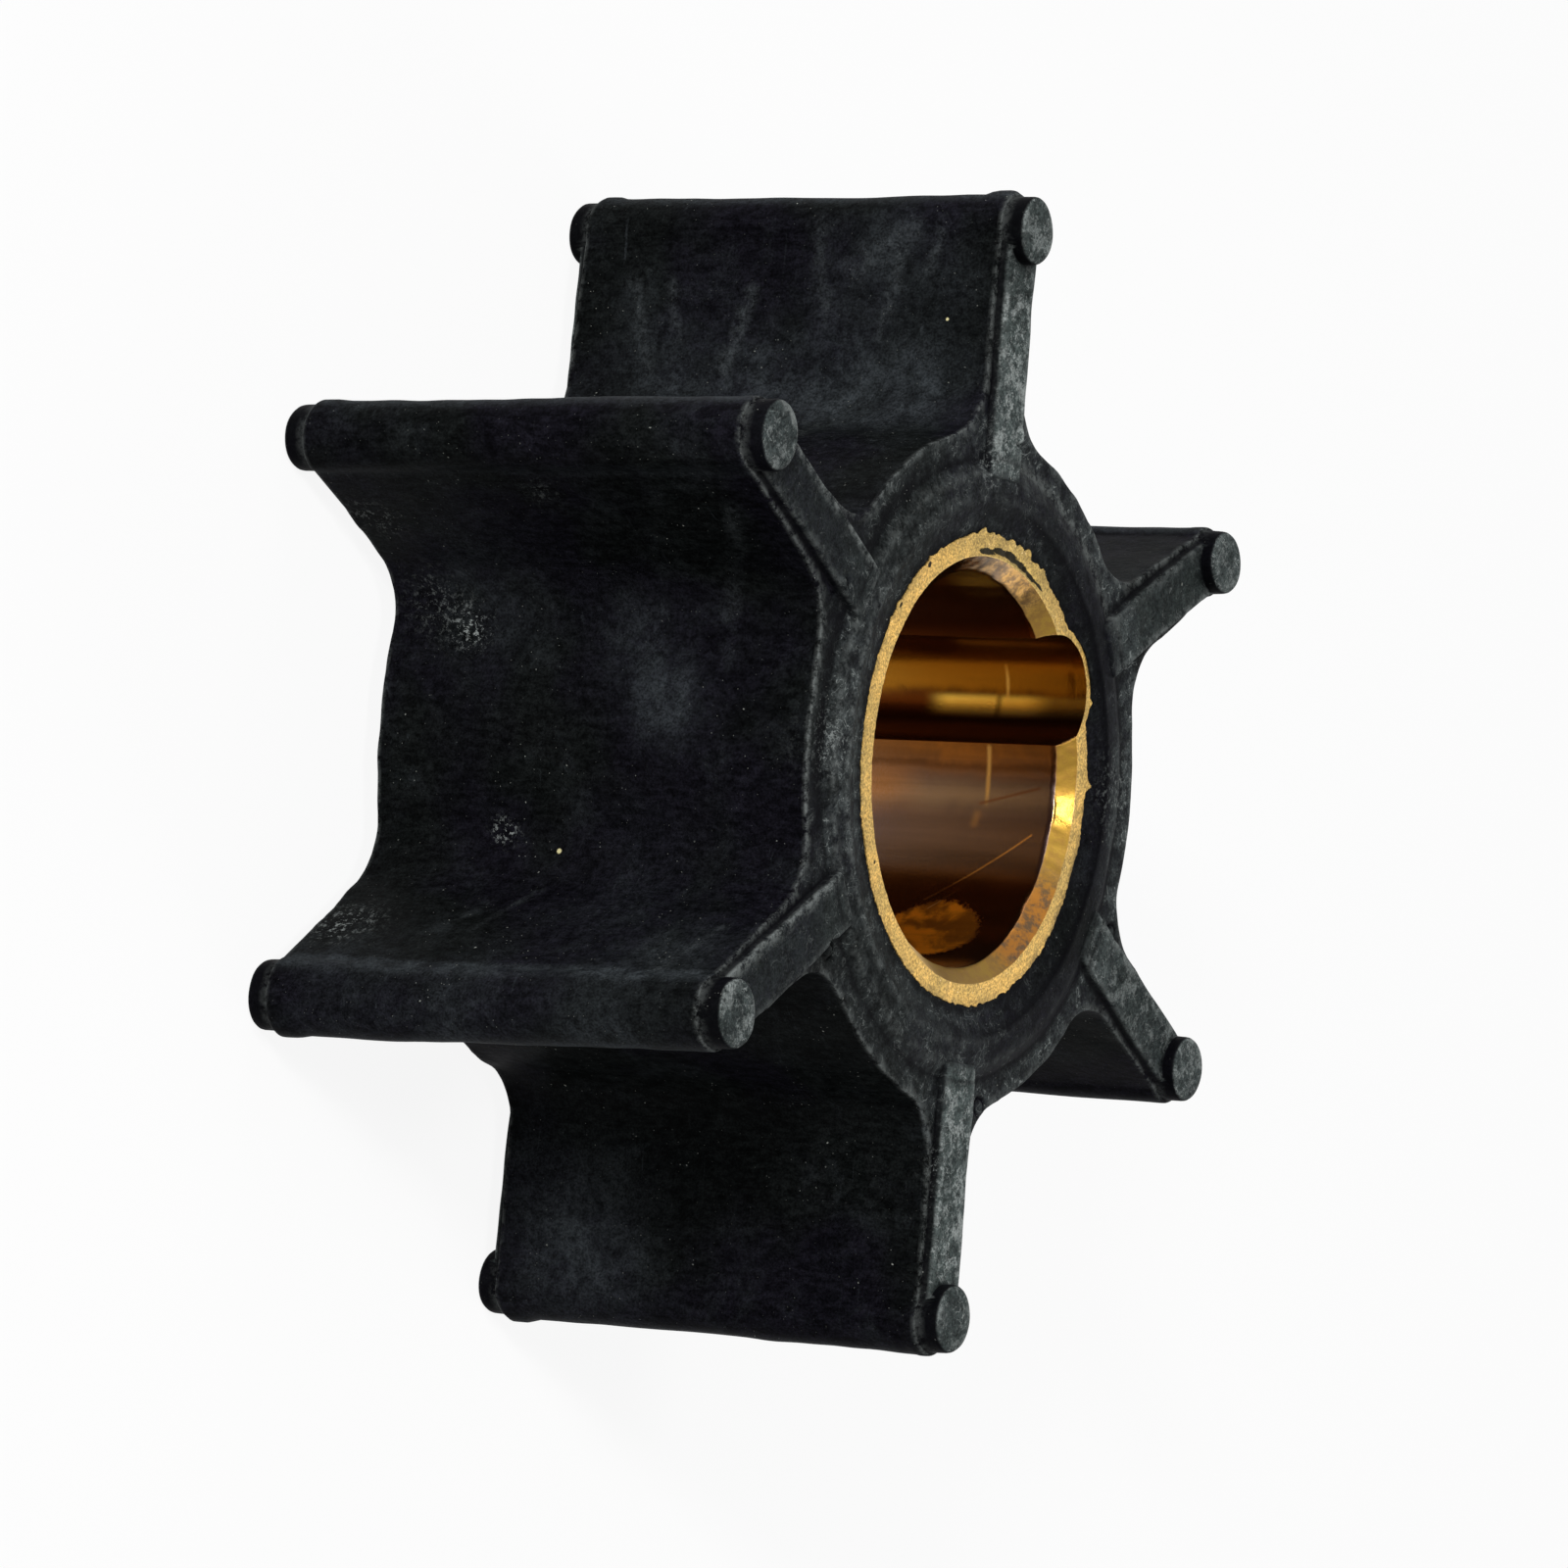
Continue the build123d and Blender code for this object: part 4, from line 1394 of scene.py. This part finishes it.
class IMPELLER_OT_stage(Operator):
    """Set up the pale floor, the studio light and the camera"""
    bl_idname = "impeller.stage"
    bl_label = "Stage"

    def execute(self, context):
        settings = context.scene.impeller_stage
        scene = context.scene
        scene.view_settings.view_transform = "Standard"
        half = settings.floor_size / 2
        mesh = bpy.data.meshes.new("floor")
        mesh.from_pydata([(-half, -half, 0.0), (half, -half, 0.0), (half, half, 0.0), (-half, half, 0.0)],
                         [], [(0, 1, 2, 3)])
        mesh.materials.append(floor_material(settings.floor))
        floor = bpy.data.objects.new("floor", mesh)
        scene.collection.objects.link(floor)
        scene.world = studio_world(settings.sky)
        self.camera(scene, settings.lens)
        self.lamps(scene)
        return {"FINISHED"}

    def camera(self, scene, lens):
        """Long lens from the side and above, rolled so that the axis lies across."""
        data = bpy.data.cameras.new("camera")
        data.lens = lens
        data.sensor_width = 36.0
        data.clip_start = 0.01
        data.clip_end = 20.0
        camera = bpy.data.objects.new("camera", data)
        view = (Matrix.Translation(VIEW_OFFSET) @ Matrix.Rotation(VIEW_ROLL, 4, "Z")
                @ Matrix.Rotation(VIEW_TILT, 4, "Y") @ Matrix.Rotation(VIEW_TURN, 4, "Z")
                @ Matrix.Translation((0.0, 0.0, -MID_HEIGHT)))
        camera.matrix_world = view.inverted()
        scene.collection.objects.link(camera)
        scene.camera = camera

    def lamps(self, scene):
        """Square soft boxes that all point at the middle of the part."""
        for name, place, side, power in LAMPS:
            data = bpy.data.lights.new(name, "AREA")
            data.shape = "SQUARE"
            data.size = side
            data.energy = power
            lamp = bpy.data.objects.new(name, data)
            lamp.location = place
            aim = Vector((0.0, 0.0, MID_HEIGHT)) - Vector(place)
            lamp.rotation_euler = aim.to_track_quat("-Z", "Y").to_euler()
            scene.collection.objects.link(lamp)


class IMPELLER_PT_panel(Panel):
    """Lists the pieces and their settings."""
    bl_idname = "IMPELLER_PT_panel"
    bl_label = "Pump impeller"
    bl_space_type = "VIEW_3D"
    bl_region_type = "UI"
    bl_category = "Impeller"

    def draw(self, context):
        for operator, groups in PANEL_ROWS:
            box = self.layout.box()
            box.operator(operator)
            for name in groups:
                group = getattr(context.scene, name)
                for key in group.__annotations__:
                    box.prop(group, key)


PANEL_ROWS = (("impeller.rubber_moulding", ("impeller_moulding", "impeller_rubber")),
              ("impeller.brass_sleeve", ("impeller_sleeve", "impeller_brass")),
              ("impeller.stage", ("impeller_stage",)))
GROUPS = (("impeller_moulding", MouldingSizes), ("impeller_sleeve", SleeveSizes),
          ("impeller_rubber", RubberFinish), ("impeller_brass", BrassFinish),
          ("impeller_stage", StageSettings))
CLASSES = (IMPELLER_OT_rubber_moulding, IMPELLER_OT_brass_sleeve, IMPELLER_OT_stage, IMPELLER_PT_panel)


def register():
    for name, group in GROUPS:
        bpy.utils.register_class(group)
        setattr(bpy.types.Scene, name, PointerProperty(type=group))
    for item in CLASSES:
        bpy.utils.register_class(item)


def unregister():
    for item in reversed(CLASSES):
        bpy.utils.unregister_class(item)
    for name, group in reversed(GROUPS):
        delattr(bpy.types.Scene, name)
        bpy.utils.unregister_class(group)


def main():
    register()
    bpy.ops.impeller.stage()
    bpy.ops.impeller.rubber_moulding()
    bpy.ops.impeller.brass_sleeve()


if __name__ == "__main__":
    main()
